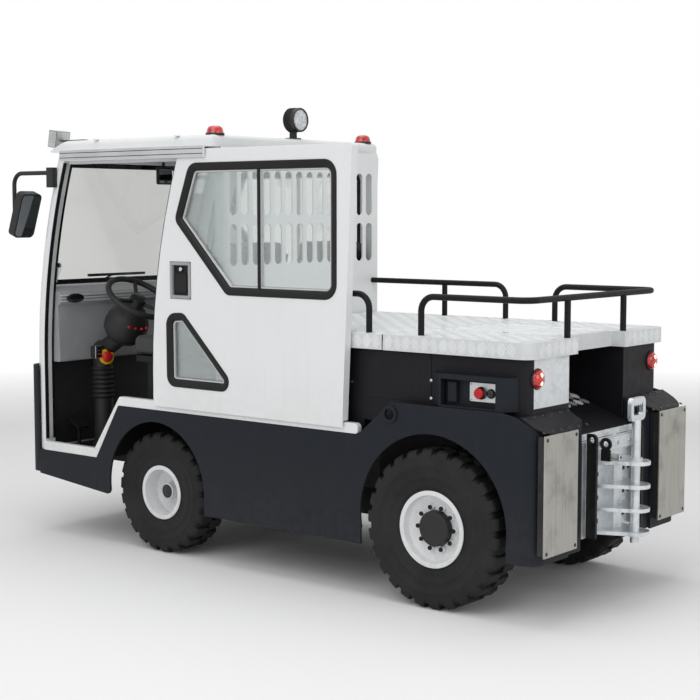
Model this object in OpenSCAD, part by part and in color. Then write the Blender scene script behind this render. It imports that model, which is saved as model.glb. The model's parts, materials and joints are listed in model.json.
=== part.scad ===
// Electric baggage tug with a two-seat cab, load deck and four-level tow coupling.
// Lengths in millimetres. X points forward, Y to the left, Z up; the ground is at Z = 0.
// Lengths along X are first counted from the rear axle, and stand() then moves
// the middle of the vehicle to X = 0.

/* [Wheels] */
// Distance between the rear and the front axle
wheelbase = 1640; // [1560:10:1800]
// Outside diameter of a rear tyre
rear_tyre_d = 676; // [656:2:688]
// Width of a rear tyre
rear_tyre_w = 190; // [176:2:196]
// Outside diameter of a front tyre
front_tyre_d = 588; // [568:2:600]
// Width of a front tyre
front_tyre_w = 176; // [160:2:184]
// Outside diameter of a rear rim flange
rear_rim_d = 326; // [310:2:336]
// Outside diameter of a front rim flange
front_rim_d = 264; // [250:2:276]
// Distance between the middles of the rear tyres
rear_track = 1024; // [1010:2:1030]
// Distance between the middles of the front tyres
front_track = 970; // [964:2:980]
// Distance between the two kingpins
kingpin_track = 732; // [724:2:736]
// Length of a steering arm
arm_l = 130; // [120:2:140]
// Wall of a rim barrel
rim_t = 8; // [6:1:10]

/* [Body] */
// Width over the side skirts
body_w = 1220; // [1210:2:1240]
// Plate thickness of the side skirts
skirt_t = 12; // [8:1:14]
// Height of the lower edge of the side skirts
skirt_z = 229; // [200:1:240]
// Height of the shoulder of the rear wheel arch
fender_z = 857; // [830:1:880]
// Height of the sill rail under the doors
sill_z = 704; // [696:1:712]
// Height of the white sill strip
sill_h = 46; // [40:1:50]
// Height of the step into the cab
step_z = 429; // [426:1:440]
// Front face of the bumper ahead of the front axle
front_overhang = 927; // [900:1:960]
// Height of the top of the bumper
bumper_z = 867; // [820:1:880]
// Rear face of the ballast boxes behind the rear axle
rear_overhang = 514; // [500:1:530]
// Radius of the rear corners in plan
corner_r = 70; // [50:1:76]
// Thickness of the rubber behind the push plates
pad_t = 31; // [20:1:40]
// Thickness of the steel push plates
push_t = 8; // [6:1:12]

/* [Deck] */
// Height of the load deck
deck_z = 1137; // [1110:1:1160]
// Height of the deck rim
deck_rim = 67; // [50:1:80]
// Width of the load deck
deck_w = 1150; // [1130:2:1156]
// Sheet thickness of the deck
deck_t = 6; // [4:1:8]
// Width of the housing under the deck
hood_w = 1090; // [1070:2:1100]
// Half width of the slot over the tow coupling
slot_half = 229; // [200:1:236]
// Diameter of the rail tube
rail_d = 27; // [22:1:32]
// Height of the rails over the deck
rail_h = 165; // [140:1:180]

/* [Cab] */
// Distance from the front axle back to the rear wall of the cab
cab_back = 444; // [430:1:460]
// Height of the roof
roof_z = 2007; // [1990:1:2040]
// Thickness of the roof
roof_t = 56; // [50:1:70]
// Outer width of the cab front
nose_w = 1192; // [1180:2:1194]
// Depth of a front pillar
pillar_d = 95; // [80:1:105]
// Height at which the cab front starts to lean back
nose_z = 882; // [860:1:900]
// Lean of the cab front, as setback in millimetres for one metre of height squared
nose_bow = 170; // [140:1:190]
// Lower edge of the windscreen
screen_z = 1275; // [1240:1:1300]
// Thickness of a door
door_t = 40; // [30:1:40]
// Distance over the outer faces of the doors
door_span = 1250; // [1248:2:1258]
// Way of a door between open and closed
door_travel = 828; // [800:1:840]
// Steering wheel diameter
wheel_d = 360; // [320:5:380]

/* [Coupling] */
// Distance from the rear axle back to the tow pin
pin_x = 624; // [618:1:640]
// Diameter of the tow pin
pin_d = 38; // [30:1:42]
// Height of the lowest coupling tongue
tongue_z = 305; // [300:1:315]
// Step from one coupling tongue to the next
tongue_step = 99; // [90:1:102]
// Thickness of a coupling tongue
tongue_t = 16; // [12:1:20]
// Hole diameter of the lashing eyes
eye_d = 48; // [40:1:52]

/* [Hidden] */

$fn = 48;

// Clearances: running fit of a shaft, seat between still pieces, free gap of a moving piece
fit = 0.05;
seat = 0.3;
free_gap = 7;

// Places along X
front_x = wheelbase;
cab_x = front_x - cab_back;
bumper_x = front_x + front_overhang;
nose_gap = 18;
nose_base_x = bumper_x - nose_gap;
bumper_wrap = 77;
skirt_front_x = bumper_x - bumper_wrap;
sill_end_x = 380;
rear_face_x = -rear_overhang;
tongue_r = 62;
tongue_end_x = -pin_x - tongue_r;
mirror_reach = 96;
mid_x = (bumper_x + mirror_reach + tongue_end_x) / 2;

// Half widths
half_w = body_w / 2;
skirt_in = half_w - skirt_t;
nose_half = nose_w / 2;
door_out = door_span / 2;
door_in = door_out - door_t;
cab_half = door_in - free_gap;
hood_half = hood_w / 2;
deck_half = deck_w / 2;
kingpin_y = kingpin_track / 2;
rear_wheel_y = rear_track / 2;
front_wheel_y = front_track / 2;

// Heights
rear_axle_z = rear_tyre_d / 2;
front_axle_z = front_tyre_d / 2;
roof_under = roof_z - roof_t;
deck_under = deck_z - deck_rim;
floor_t = 8;
platform_z = sill_z + floor_t;
door_z = sill_z + sill_h + 6;
door_lip_z = sill_z + 24;
door_top_z = roof_under - 8;

// Colours
white = [0.9, 0.91, 0.91];
charcoal = [0.12, 0.13, 0.16];
black = [0.04, 0.04, 0.045];
steel = [0.6, 0.6, 0.59];
zinc = [0.66, 0.68, 0.7];
rubber = [0.05, 0.05, 0.05];
checker = [0.82, 0.83, 0.84];
grey = [0.45, 0.46, 0.47];
glass = [0.6, 0.65, 0.66, 0.4];
red = [0.75, 0.06, 0.05];

// Corner points [x, y, radius] turned into an outline with rounded corners
function unit(v) = v / norm(v);
function corner(p, u, v, r, steps) =
  let (half = acos(max(-1, min(1, u * v))) / 2,
       start = p + u * r / tan(half),
       end = p + v * r / tan(half),
       mid = p + unit(u + v) * r / sin(half),
       a = atan2(start[1] - mid[1], start[0] - mid[0]),
       b = atan2(end[1] - mid[1], end[0] - mid[0]),
       turn = (b - a + 540) % 360 - 180)
  [for (k = [0:steps]) mid + r * [cos(a + turn * k / steps), sin(a + turn * k / steps)]];
function rounded(c, steps = 6) =
  [for (i = [0:len(c) - 1])
    let (p = [c[i][0], c[i][1]],
         back = c[(i + len(c) - 1) % len(c)],
         next = c[(i + 1) % len(c)],
         u = unit([back[0], back[1]] - p),
         v = unit([next[0], next[1]] - p))
    each (c[i][2] > 0 ? corner(p, u, v, c[i][2], steps) : [p])];
module outline(c) polygon(rounded(c));

// Moves the middle of the vehicle to the origin
module stand() translate([-mid_x, 0, 0]) children();

// Plates cut from a flat outline: in the XZ plane, in the YZ plane, in the XY plane
module side_plate(y, t) translate([0, y + t, 0]) rotate([90, 0, 0]) linear_extrude(t) children();
module cross_plate(x, t) translate([x, 0, 0]) rotate([90, 0, 90]) linear_extrude(t) children();
module flat_plate(z, t) translate([0, 0, z]) linear_extrude(t) children();
module block(x, y, z) translate([x[0], y[0], z[0]]) cube([x[1] - x[0], y[1] - y[0], z[1] - z[0]]);

// A piece and its mirror image on the right-hand side
module both_sides() {
  children();
  mirror([0, 1, 0]) children();
}

// A round bar along Y, turned profiles about Y, and a round bar between two points
module turned_y() rotate([-90, 0, 0]) rotate_extrude() children();
module bar_y(x, y, z, r) translate([x, y[0], z]) rotate([-90, 0, 0]) cylinder(h = y[1] - y[0], r = r);
module bar_x(x, y, z, r) translate([x[0], y, z]) rotate([0, 90, 0]) cylinder(h = x[1] - x[0], r = r);
module rod(a, b, r) {
  d = b - a;
  translate(a) rotate([0, acos(d[2] / norm(d)), atan2(d[1], d[0])]) cylinder(h = norm(d), r = r);
}

// Wheels

// Half section of a tyre: radius against distance from its middle plane
bead_depth = 14;
module tyre_section(d, w, rim_d) {
  bead = rim_d / 2 - bead_depth;
  outline([[bead, -w / 2 + 30, 2], [rim_d / 2 + 1, -w / 2 + 16, 2], [rim_d / 2 + 9, -w / 2 + 7, 5],
    [(d + rim_d) / 4, -w / 2, 40],
    [d / 2 - 26, -w / 2 + 4, 8], [d / 2, -w / 2 + 14, 12], [d / 2, w / 2 - 14, 12],
    [d / 2 - 26, w / 2 - 4, 8], [(d + rim_d) / 4, w / 2, 40], [rim_d / 2 + 9, w / 2 - 7, 5],
    [rim_d / 2 + 1, w / 2 - 16, 2], [bead, w / 2 - 30, 2]]);
}
module tyre(d, w, rim_d) color(rubber) turned_y() tyre_section(d, w, rim_d);

// Half section of a rim: flanges, barrel, a coned disc at disc_a, and a capped hub with a blind bore
module rim_section(w, rim_d, disc_a, hub_r, cap_a, bore_r, bore_a) {
  bead = rim_d / 2 - bead_depth - seat;
  barrel = bead - rim_t;
  edge = w / 2 - 10;
  outline([[bore_r, -w / 4, 0], [hub_r, -w / 4, 2], [hub_r, disc_a - 6, 2], [barrel, disc_a - 6, 12],
    [barrel, -edge, 0], [rim_d / 2, -edge, 3], [rim_d / 2, -edge + 5, 2], [bead, -edge + 19, 3],
    [bead, edge - 19, 3], [rim_d / 2, edge - 5, 2], [rim_d / 2, edge, 3], [barrel + 2, edge, 3],
    [barrel, disc_a + 22, 10], [hub_r + 34, disc_a + 6, 12], [hub_r, disc_a + 6, 3],
    [hub_r, cap_a, 5], [0, cap_a, 0], [0, bore_a, 0], [bore_r, bore_a, 0]]);
}
rear_hub_r = 73;
rear_disc_a = 28;
rear_cap_a = 66;
rear_spindle_r = 40;
rear_spindle_a = 50;
stud_count = 10;
stud_ring_d = 182;
stud_r = 9;
module rear_rim() color(white) {
  turned_y() rim_section(rear_tyre_w, rear_rim_d, rear_disc_a, rear_hub_r, rear_cap_a,
    rear_spindle_r + fit, rear_spindle_a + seat);
  for (i = [0:stud_count - 1])
    rotate([0, i * 360 / stud_count, 0])
      bar_y(stud_ring_d / 2, [rear_disc_a, rear_disc_a + 26], 0, stud_r);
}
front_hub_r = 42;
front_disc_a = -24;
front_cap_a = 34;
front_spindle_r = 24;
front_spindle_a = 20;
module front_rim() color(white)
  turned_y() rim_section(front_tyre_w, front_rim_d, front_disc_a, front_hub_r, front_cap_a,
    front_spindle_r + fit, front_spindle_a + seat);
module at_rear_wheel() stand() translate([0, rear_wheel_y, rear_axle_z]) children();
module at_front_wheel() stand() translate([front_x, front_wheel_y, front_axle_z]) children();
module tyre_rear_left() at_rear_wheel() tyre(rear_tyre_d, rear_tyre_w, rear_rim_d);
module tyre_rear_right() mirror([0, 1, 0]) tyre_rear_left();
module tyre_front_left() at_front_wheel() tyre(front_tyre_d, front_tyre_w, front_rim_d);
module tyre_front_right() mirror([0, 1, 0]) tyre_front_left();
module rim_rear_left() at_rear_wheel() rear_rim();
module rim_rear_right() mirror([0, 1, 0]) rim_rear_left();
module rim_front_left() at_front_wheel() front_rim();
module rim_front_right() mirror([0, 1, 0]) rim_front_left();

// Axles and steering

kingpin_r = 18;
fork_half = 35;
fork_reach = 32;
fork_in = 46;
fork_t = 30;
fork_throat = 50;
arm_half = 11;
beam_half = 45;
beam_h = 86;
knuckle_half = fork_in - seat;
front_rail_z = front_axle_z + 36;
module front_axle_half() {
  z = front_axle_z;
  block([front_x - beam_half, front_x + beam_half], [0, kingpin_y - 60],
    [front_rail_z - beam_h, front_rail_z]);
  difference() {
    block([front_x - fork_half, front_x + fork_half], [kingpin_y - 70, kingpin_y + fork_reach],
      [z - fork_in - fork_t, z + fork_in + fork_t]);
    block([front_x - 60, front_x + 60], [kingpin_y - fork_throat, kingpin_y + 60],
      [z - fork_in, z + fork_in]);
    translate([front_x, kingpin_y, z - 100]) cylinder(h = 200, r = kingpin_r + fit);
  }
}
module front_axle() color(black) stand() both_sides() front_axle_half();

tie_pin_r = 10;
tie_pin_drop = 46;
tie_eye_r = 20;
tie_eye_h = 18;
tie_rod_r = 11;
tie_z = front_axle_z - 38;
module knuckle_left() color(grey) stand() {
  z = front_axle_z;
  translate([front_x, kingpin_y, z - fork_in - fork_t - 4])
    cylinder(h = 2 * (fork_in + fork_t + 4), r = kingpin_r);
  translate([front_x, kingpin_y, z - knuckle_half]) cylinder(h = 2 * knuckle_half, r = fork_reach + 2);
  bar_y(front_x, [kingpin_y, front_wheel_y + front_spindle_a], z, front_spindle_r);
  block([front_x - arm_l, front_x - 20], [kingpin_y - arm_half, kingpin_y + arm_half],
    [z - 15, z + 15]);
  translate([front_x - arm_l, kingpin_y, z - 15]) cylinder(h = 30, r = tie_eye_r);
  translate([front_x - arm_l, kingpin_y, z - tie_pin_drop - 8]) cylinder(h = tie_pin_drop, r = tie_pin_r);
}
module knuckle_right() mirror([0, 1, 0]) knuckle_left();
module tie_rod() color(grey) stand() translate([front_x - arm_l, 0, tie_z - tie_eye_h / 2]) difference() {
  union() {
    both_sides() translate([0, kingpin_y, 0]) cylinder(h = tie_eye_h, r = tie_eye_r);
    bar_y(0, [-kingpin_y + tie_eye_r - 4, kingpin_y - tie_eye_r + 4], tie_eye_h / 2, tie_rod_r - 3);
  }
  both_sides() translate([0, kingpin_y, -1]) cylinder(h = tie_eye_h + 2, r = tie_pin_r + fit);
}

axle_tube_r = 55;
axle_case_r = 105;
axle_flange_y = rear_wheel_y - rear_tyre_w / 2 - 32;
frame_y = [298, 330];
rear_rail_z = rear_axle_z + 67;
module drive_axle() color(black) stand() {
  z = rear_axle_z;
  case_w = 150;
  translate([0, -case_w / 2, z]) rotate([-90, 0, 0]) cylinder(h = case_w, r = axle_case_r);
  both_sides() {
    translate([0, case_w / 2, z]) rotate([-90, 0, 0]) cylinder(h = 60, r1 = axle_case_r, r2 = axle_tube_r);
    bar_y(0, [0, axle_flange_y], z, axle_tube_r);
    bar_y(0, [axle_flange_y, axle_flange_y + 22], z, 100);
    bar_y(0, [axle_flange_y, rear_wheel_y + rear_spindle_a], z, rear_spindle_r);
    block([-60, 60], frame_y, [z, rear_rail_z]);
  }
}

// Frame and heavy masses

arch_rear_r = 372;
arch_rear_x = -6;
arch_front_r = 326;
arch_front_x = front_x - 12;
arch_rear_z = rear_axle_z + 29;
arch_front_z = front_axle_z + 25;
weight_front_x = rear_face_x + 114;
bulkhead_x = front_x - 390;
bulkhead_t = 12;
battery_x = 400;
rail_low_z = 300;
rail_top_z = 440;
front_rail_y = [150, 205];
well_x = front_x + 404;
knee_x = front_x + 240;
module chassis_frame() color(black) stand() {
  both_sides() side_plate(frame_y[0], frame_y[1] - frame_y[0])
    outline([[weight_front_x, rear_rail_z, 0], [battery_x - 110, rear_rail_z, 30],
      [battery_x + 10, rail_low_z, 30],
      [bulkhead_x, rail_low_z, 0], [bulkhead_x, rail_top_z, 0], [battery_x, rail_top_z, 0],
      [battery_x - 90, rear_rail_z + 120, 30], [weight_front_x, rear_rail_z + 120, 0]]);
  block([battery_x, bulkhead_x], [-frame_y[1], frame_y[1]], [rail_low_z - 8, rail_low_z]);
  block([weight_front_x, weight_front_x + 12], [-frame_y[0], frame_y[0]], [rear_rail_z, rear_rail_z + 120]);
  block([battery_x, battery_x + 60], [-frame_y[0], frame_y[0]], [rail_top_z - 60, rail_top_z]);
  block([bulkhead_x, bulkhead_x + bulkhead_t], [-skirt_in + seat, skirt_in - seat],
    [rail_low_z - 8, platform_z - floor_t]);
  both_sides()
    block([bulkhead_x + bulkhead_t, skirt_front_x], front_rail_y, [front_rail_z, step_z - floor_t]);
  for (x = [front_x - 240, front_x + 300, skirt_front_x - 60])
    block([x, x + 60], [-front_rail_y[0], front_rail_y[0]], [front_rail_z, step_z - floor_t]);
}
module traction_motor() color(grey) stand()
  block([axle_case_r + seat, battery_x - 20], [-120, 120], [rear_axle_z - 110, rear_axle_z + 80]);
module battery() color(charcoal) stand()
  block([battery_x, cab_x - 16], [-430, 430], [rail_top_z, deck_under - 14]);

// Skirts, bumper and ballast

cover_drop = 0.558;
cover_t = 5;
upright_x = rear_face_x + 80;
function cover_z(x) = fender_z - 10 + (x - upright_x) * cover_drop;
module skirt_side() difference() {
  outline([[skirt_front_x, 304, 0], [arch_front_x + arch_front_r - 2, 252, 26],
    [arch_front_x + arch_front_r - 2, 300, 0], [arch_front_x - arch_front_r + 2, 300, 0],
    [arch_front_x - arch_front_r + 2, skirt_z, 0], [arch_rear_x + arch_rear_r - 2, skirt_z, 0],
    [arch_rear_x + arch_rear_r - 2, 300, 0], [arch_rear_x - arch_rear_r + 2, 300, 0],
    [arch_rear_x - arch_rear_r + 2, skirt_z + 24, 0], [rear_face_x, skirt_z + 24, 0],
    [rear_face_x, cover_z(rear_face_x) - cover_t, 0], [upright_x + 10, cover_z(upright_x) - cover_t, 20],
    [-350, fender_z, 40], [205, fender_z, 40], [sill_end_x - 4, sill_z, 0], [knee_x + 8, sill_z, 14],
    [well_x + 9, step_z, 4], [skirt_front_x, step_z, 0]]);
  translate([arch_front_x, arch_front_z]) circle(r = arch_front_r);
  translate([arch_rear_x, arch_rear_z]) circle(r = arch_rear_r);
}
eye_x = 205;
eye_z = fender_z - 51;
eye_wall = 14;
eye_t = 8;
module side_skirt_left() color(charcoal) stand() difference() {
  intersection() {
    side_plate(300, half_w - 300) skirt_side();
    flat_plate(0, 1000) outline([[skirt_front_x, half_w, 0], [rear_face_x, half_w, corner_r],
      [rear_face_x, 352, 0], [rear_face_x + skirt_t, 352, 0],
      [rear_face_x + skirt_t, skirt_in, corner_r - skirt_t], [skirt_front_x, skirt_in, 0]]);
  }
  bar_y(eye_x, [skirt_in - 1, half_w + 1], eye_z, eye_d / 2 + 3);
}
module side_skirt_right() mirror([0, 1, 0]) side_skirt_left();
module lashing_eyes() color(charcoal) stand() both_sides() difference() {
  bar_y(eye_x, [half_w, half_w + eye_t], eye_z, eye_d / 2 + eye_wall);
  bar_y(eye_x, [half_w - 1, half_w + eye_t + 1], eye_z, eye_d / 2);
}
module front_bumper() color(charcoal) stand() difference() {
  flat_plate(312, bumper_z - 312)
    outline([[skirt_front_x, -half_w, 0], [bumper_x, -half_w, 60], [bumper_x, half_w, 60],
      [skirt_front_x, half_w, 0]]);
  flat_plate(300, bumper_z - 290)
    outline([[skirt_front_x - 1, -skirt_in, 0], [bumper_x - 16, -skirt_in, 48],
      [bumper_x - 16, skirt_in, 48],
      [skirt_front_x - 1, skirt_in, 0]]);
}
module weight_left() intersection() {
  side_plate(slot_half + 7, skirt_in - seat - slot_half - 7)
    outline([[rear_face_x + skirt_t, skirt_z + 27, 0], [weight_front_x, skirt_z + 27, 0],
      [weight_front_x, 760, 0], [upright_x - 2, 760, 0],
        [upright_x - 2, cover_z(upright_x - 2) - cover_t, 0],
      [rear_face_x + skirt_t, cover_z(rear_face_x + skirt_t) - cover_t, 0]]);
  flat_plate(0, 1000) outline([[0, 0, 0], [rear_face_x + skirt_t, 0, 0],
    [rear_face_x + skirt_t, skirt_in - seat, corner_r - skirt_t], [0, skirt_in - seat, 0]]);
}
module rear_weights() color(charcoal) stand() both_sides() weight_left();
push_z = [295, 781];
push_y = [352, 604];
module buffer_pads() color(rubber) stand() both_sides()
  block([rear_face_x - pad_t, rear_face_x], [push_y[0] + 6, push_y[1] - 6], [push_z[0] + 6, push_z[1] - 6]);
module push_plates() color(steel) stand() both_sides()
  block([rear_face_x - pad_t - push_t, rear_face_x - pad_t], push_y, push_z);
cover_end_x = rear_face_x - pad_t + seat;
ramp_x = [-484, -72];
ramp_z = [735, 894];
module rear_covers() color(charcoal) stand() {
  both_sides() intersection() {
    side_plate(slot_half, half_w - slot_half)
      polygon([[upright_x - seat, cover_z(upright_x)], [cover_end_x, cover_z(cover_end_x)],
        [cover_end_x, cover_z(cover_end_x) - cover_t], [upright_x - seat, cover_z(upright_x) - cover_t]]);
    flat_plate(600, 400) outline([[upright_x, slot_half + 10, 0], [upright_x, half_w - 6, 0],
      [cover_end_x, half_w - 6, corner_r], [cover_end_x, push_y[0], 0]]);
  }
  side_plate(-slot_half + seat, 2 * (slot_half - seat))
    polygon([[ramp_x[0], ramp_z[0]], [ramp_x[1], ramp_z[1]], [ramp_x[1], ramp_z[1] - 8],
      [ramp_x[0], ramp_z[0] - 8]]);
}

// Housing, deck and rails

hood_t = 6;
hood_corner = 40;
slot_front_x = -66;
module hood_plan(inset) outline([[cab_x - 12, hood_half - inset, 0],
  [upright_x + inset, hood_half - inset, hood_corner - inset], [upright_x + inset, slot_half + inset, 0],
  [slot_front_x + inset, slot_half + inset, 0], [slot_front_x + inset, -slot_half - inset, 0],
  [upright_x + inset, -slot_half - inset, 0], [upright_x + inset, -hood_half + inset, hood_corner - inset],
  [cab_x - 12, -hood_half + inset, 0]]);
module hood() color(charcoal) stand() {
  difference() {
    flat_plate(760, deck_under - 760) hood_plan(0);
    translate([0.1, 0, 0]) flat_plate(750, deck_under) hood_plan(hood_t);
  }
  both_sides() block([396, cab_x - 12], [hood_half - hood_t, hood_half], [sill_z + 4, 760]);
}

seam_x = 274;
seam_gap = 8;
deck_back_x = upright_x - 26;
deck_corner = 60;
notch_half = 200;
notch_x = deck_back_x + 74;
module deck_tray() difference() {
  flat_plate(deck_under, deck_rim) children();
  flat_plate(deck_under - 1, deck_rim - deck_t + 1) offset(delta = -deck_t) children();
}
module deck_front() color(checker) stand() deck_tray()
  outline([[seam_x + seam_gap / 2, -deck_half, 0], [cab_x - 8, -deck_half, 0], [cab_x - 8, deck_half, 0],
    [seam_x + seam_gap / 2, deck_half, 0]]);
module deck_rear() color(checker) stand() deck_tray()
  outline([[seam_x - seam_gap / 2, deck_half, 0], [deck_back_x, deck_half, deck_corner],
    [deck_back_x, notch_half, 6], [notch_x, notch_half, 6], [notch_x, -notch_half, 6],
    [deck_back_x, -notch_half, 6], [deck_back_x, -deck_half, deck_corner],
      [seam_x - seam_gap / 2, -deck_half, 0]]);

rail_y = deck_half - 40;
rail_z = deck_z + rail_h;
rail_bend = 62;
rail_r = rail_d / 2;
rail_front_leg = 375;
rail_rear_leg = 99;
rail_post = 736;
rail_back_x = deck_back_x + 34;
rail_back_post = 236;
// Quarter bend of tube: starts at the origin along +Z and leaves along +X
module rail_elbow(bend) translate([bend, 0, 0]) rotate([90, 0, 0]) rotate([0, 0, 90])
  rotate_extrude(angle = 90) translate([bend, 0]) circle(r = rail_r);
module upright_tube(x, y, top) translate([x, y, deck_z]) cylinder(h = top - deck_z, r = rail_r);
module deck_rails() color(black) stand() {
  both_sides() {
    upright_tube(rail_front_leg, rail_y, rail_z - rail_bend);
    translate([rail_front_leg, rail_y, rail_z - rail_bend]) rail_elbow(rail_bend);
    bar_x([rail_front_leg + rail_bend, cab_x], rail_y, rail_z, rail_r);
    upright_tube(rail_post, rail_y, rail_z);
    upright_tube(rail_rear_leg, rail_y, rail_z - rail_bend);
    translate([rail_rear_leg, rail_y, rail_z - rail_bend]) mirror([1, 0, 0]) rail_elbow(rail_bend);
    bar_x([rail_back_x + rail_bend, rail_rear_leg - rail_bend], rail_y, rail_z, rail_r);
    translate([rail_back_x + rail_bend, rail_y - rail_bend, rail_z])
      rotate([0, 0, 90]) rotate_extrude(angle = 90) translate([rail_bend, 0]) circle(r = rail_r);
    upright_tube(rail_back_x, rail_back_post, rail_z);
  }
  bar_y(rail_back_x, [-rail_y + rail_bend, rail_y - rail_bend], rail_z, rail_r);
}

box_out = hood_half + 53;
box_z = [fender_z + seat, 994];
module control_box() color(charcoal) stand() {
  difference() {
    flat_plate(box_z[0], box_z[1] - box_z[0])
      outline([[30, hood_half, 0], [-41, box_out, 4], [-347, box_out, 4], [-388, hood_half, 0]]);
    block([-313, -47], [hood_half + 12, box_out + 1], [box_z[0] + 8, box_z[1] - 20]);
  }
  block([-306, -170], [hood_half + 12, hood_half + 20], [888, 965]);
  bar_y(-227, [hood_half + 20, hood_half + 44], 924, 14);
  bar_y(-227, [hood_half + 32, hood_half + 48], 924, 20);
  bar_y(-274, [hood_half + 20, hood_half + 30], 924, 15);
  block([-110, -70], [hood_half + 12, hood_half + 34], [880, 960]);
}

lamp_y = 481;
lamp_z = 988;
lamp_r = 40;
module tail_lamps() color(red) stand() both_sides()
  bar_x([upright_x - 26, upright_x], lamp_y, lamp_z, lamp_r);

// Tow coupling

bracket_x = [upright_x - 72, upright_x - 56];
web_half = 34;
tongue_half = tongue_r;
bracket_z = [tongue_z, tongue_z + 3 * tongue_step + tongue_t + 90];
flange_y = [190, 206];
module tongue() difference() {
  union() {
    translate([-pin_x, 0, 0]) cylinder(h = tongue_t, r = tongue_half);
    linear_extrude(tongue_t) polygon([[-pin_x, -tongue_half], [-pin_x, tongue_half],
      [bracket_x[0], tongue_half + 48], [bracket_x[0], -tongue_half - 48]]);
  }
  translate([-pin_x, 0, -1]) cylinder(h = tongue_t + 2, r = pin_d / 2 + fit);
}
module tow_coupling() color(zinc) stand() {
  block(bracket_x, [-slot_half - 7, slot_half + 7], bracket_z);
  for (i = [0:3]) translate([0, 0, tongue_z + i * tongue_step]) tongue();
  block([bracket_x[0] - 36, bracket_x[0]], [-web_half, web_half], [tongue_z, tongue_z + 3 * tongue_step]);
  both_sides() difference() {
    side_plate(flange_y[0], flange_y[1] - flange_y[0])
      outline([[bracket_x[0], bracket_z[0], 0], [bracket_x[0] - 46, bracket_z[0], 6],
        [bracket_x[0] - 46, bracket_z[1] + 34, 22], [bracket_x[0], bracket_z[1] + 34, 4]]);
    bar_y(bracket_x[0] - 23, [flange_y[0] - 1, flange_y[1] + 1], bracket_z[1] + 10, 13);
  }
}
pin_seat_z = tongue_z + 3 * tongue_step + tongue_t;
pin_low_z = tongue_z - 36;
pin_top_z = 792;
grip_w = 124;
grip_h = 98;
grip_t = 18;
module coupling_pin() color(zinc) stand() translate([-pin_x, 0, 0]) {
  translate([0, 0, pin_low_z]) cylinder(h = pin_top_z - pin_low_z, r = pin_d / 2);
  translate([0, 0, pin_seat_z]) cylinder(h = 12, r = pin_d / 2 + 9);
  cross_plate(-grip_t / 2, grip_t) difference() {
    outline([[-grip_w / 2, pin_top_z - 6, 24], [grip_w / 2, pin_top_z - 6, 24],
      [grip_w / 2, pin_top_z - 6 + grip_h, 24], [-grip_w / 2, pin_top_z - 6 + grip_h, 24]]);
    outline([[-grip_w / 2 + 22, pin_top_z + 18, 10], [grip_w / 2 - 22, pin_top_z + 18, 10],
      [grip_w / 2 - 22, pin_top_z + grip_h - 30, 10], [-grip_w / 2 + 22, pin_top_z + grip_h - 30, 10]]);
  }
}

// Cab

function nose_x(z) = nose_base_x - nose_bow * pow(max(0, z - nose_z) / 1000, 2);
nose_steps = 8;
nose_top_z = roof_under - seat;
nose_levels = [step_z, for (k = [0:nose_steps]) nose_z + (nose_top_z - nose_z) * k / nose_steps];
// The front runs in flat steps between these levels
nose_table = [for (z = nose_levels) [z, nose_x(z)]];
function nose_face(z) = lookup(z, nose_table);
// Rear face of the front pillars
function pillar_x(z) = nose_face(z) - pillar_d;
// Everything behind a face in a side view, from below the front to above it
nose_over = 10;
nose_far = 4000;
module behind(face) polygon(concat([[face[0][0], step_z - nose_over]], face,
  [[face[len(face) - 1][0], nose_top_z + nose_over], [-nose_far, nose_top_z + nose_over],
    [-nose_far, step_z - nose_over]]));
module behind_nose(half, set_back) side_plate(-half, 2 * half)
  behind([for (z = nose_levels) [nose_face(z) - set_back, z]]);
nose_corner = 85;
corner_turns = [-67.5, -45, -22.5, 22.5, 45, 67.5];
// The same leaning face turned about a corner of the front, as one facet of its rounding; each turn
// has its own levels
facet_lift = 0.2;
function facet_x(z, turn) =
  (nose_face(z) - nose_corner) * cos(turn) + (nose_half - nose_corner) * abs(sin(turn)) + nose_corner;
module behind_facet(turn) rotate([0, 0, turn]) side_plate(-nose_far, 2 * nose_far)
  behind([for (level = nose_levels) let (z = level + facet_lift * abs(turn)) [facet_x(z, turn), z]]);
front_wall_t = 42;
pillar_w = 62;
screen_half = nose_half - 68;
screen_top_z = roof_under - 46;
screen_in = 20;
screen_t = 6;
nose_in = nose_half - pillar_w;
module cab_front() color(white) stand() difference() {
  intersection() {
    block([cab_x, bumper_x], [-half_w, half_w], [step_z, nose_top_z]);
    behind_nose(nose_half, 0);
    intersection_for (turn = corner_turns) behind_facet(turn);
  }
  behind_nose(half_w, pillar_d);
  behind_nose(nose_in, front_wall_t);
  block([cab_x, bumper_x], [-screen_half, screen_half], [screen_z, screen_top_z]);
}
module windshield() color(glass) stand() {
  low = screen_z + seat;
  high = screen_top_z - seat;
  cuts = [low, for (z = nose_levels) if (z > low && z < high) z, high];
  side_plate(-screen_half + seat, 2 * (screen_half - seat))
    polygon(concat([for (z = cuts) [nose_face(z) - screen_in, z]],
      [for (k = [len(cuts) - 1:-1:0]) [nose_face(cuts[k]) - screen_in - screen_t, cuts[k]]]));
}

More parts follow.
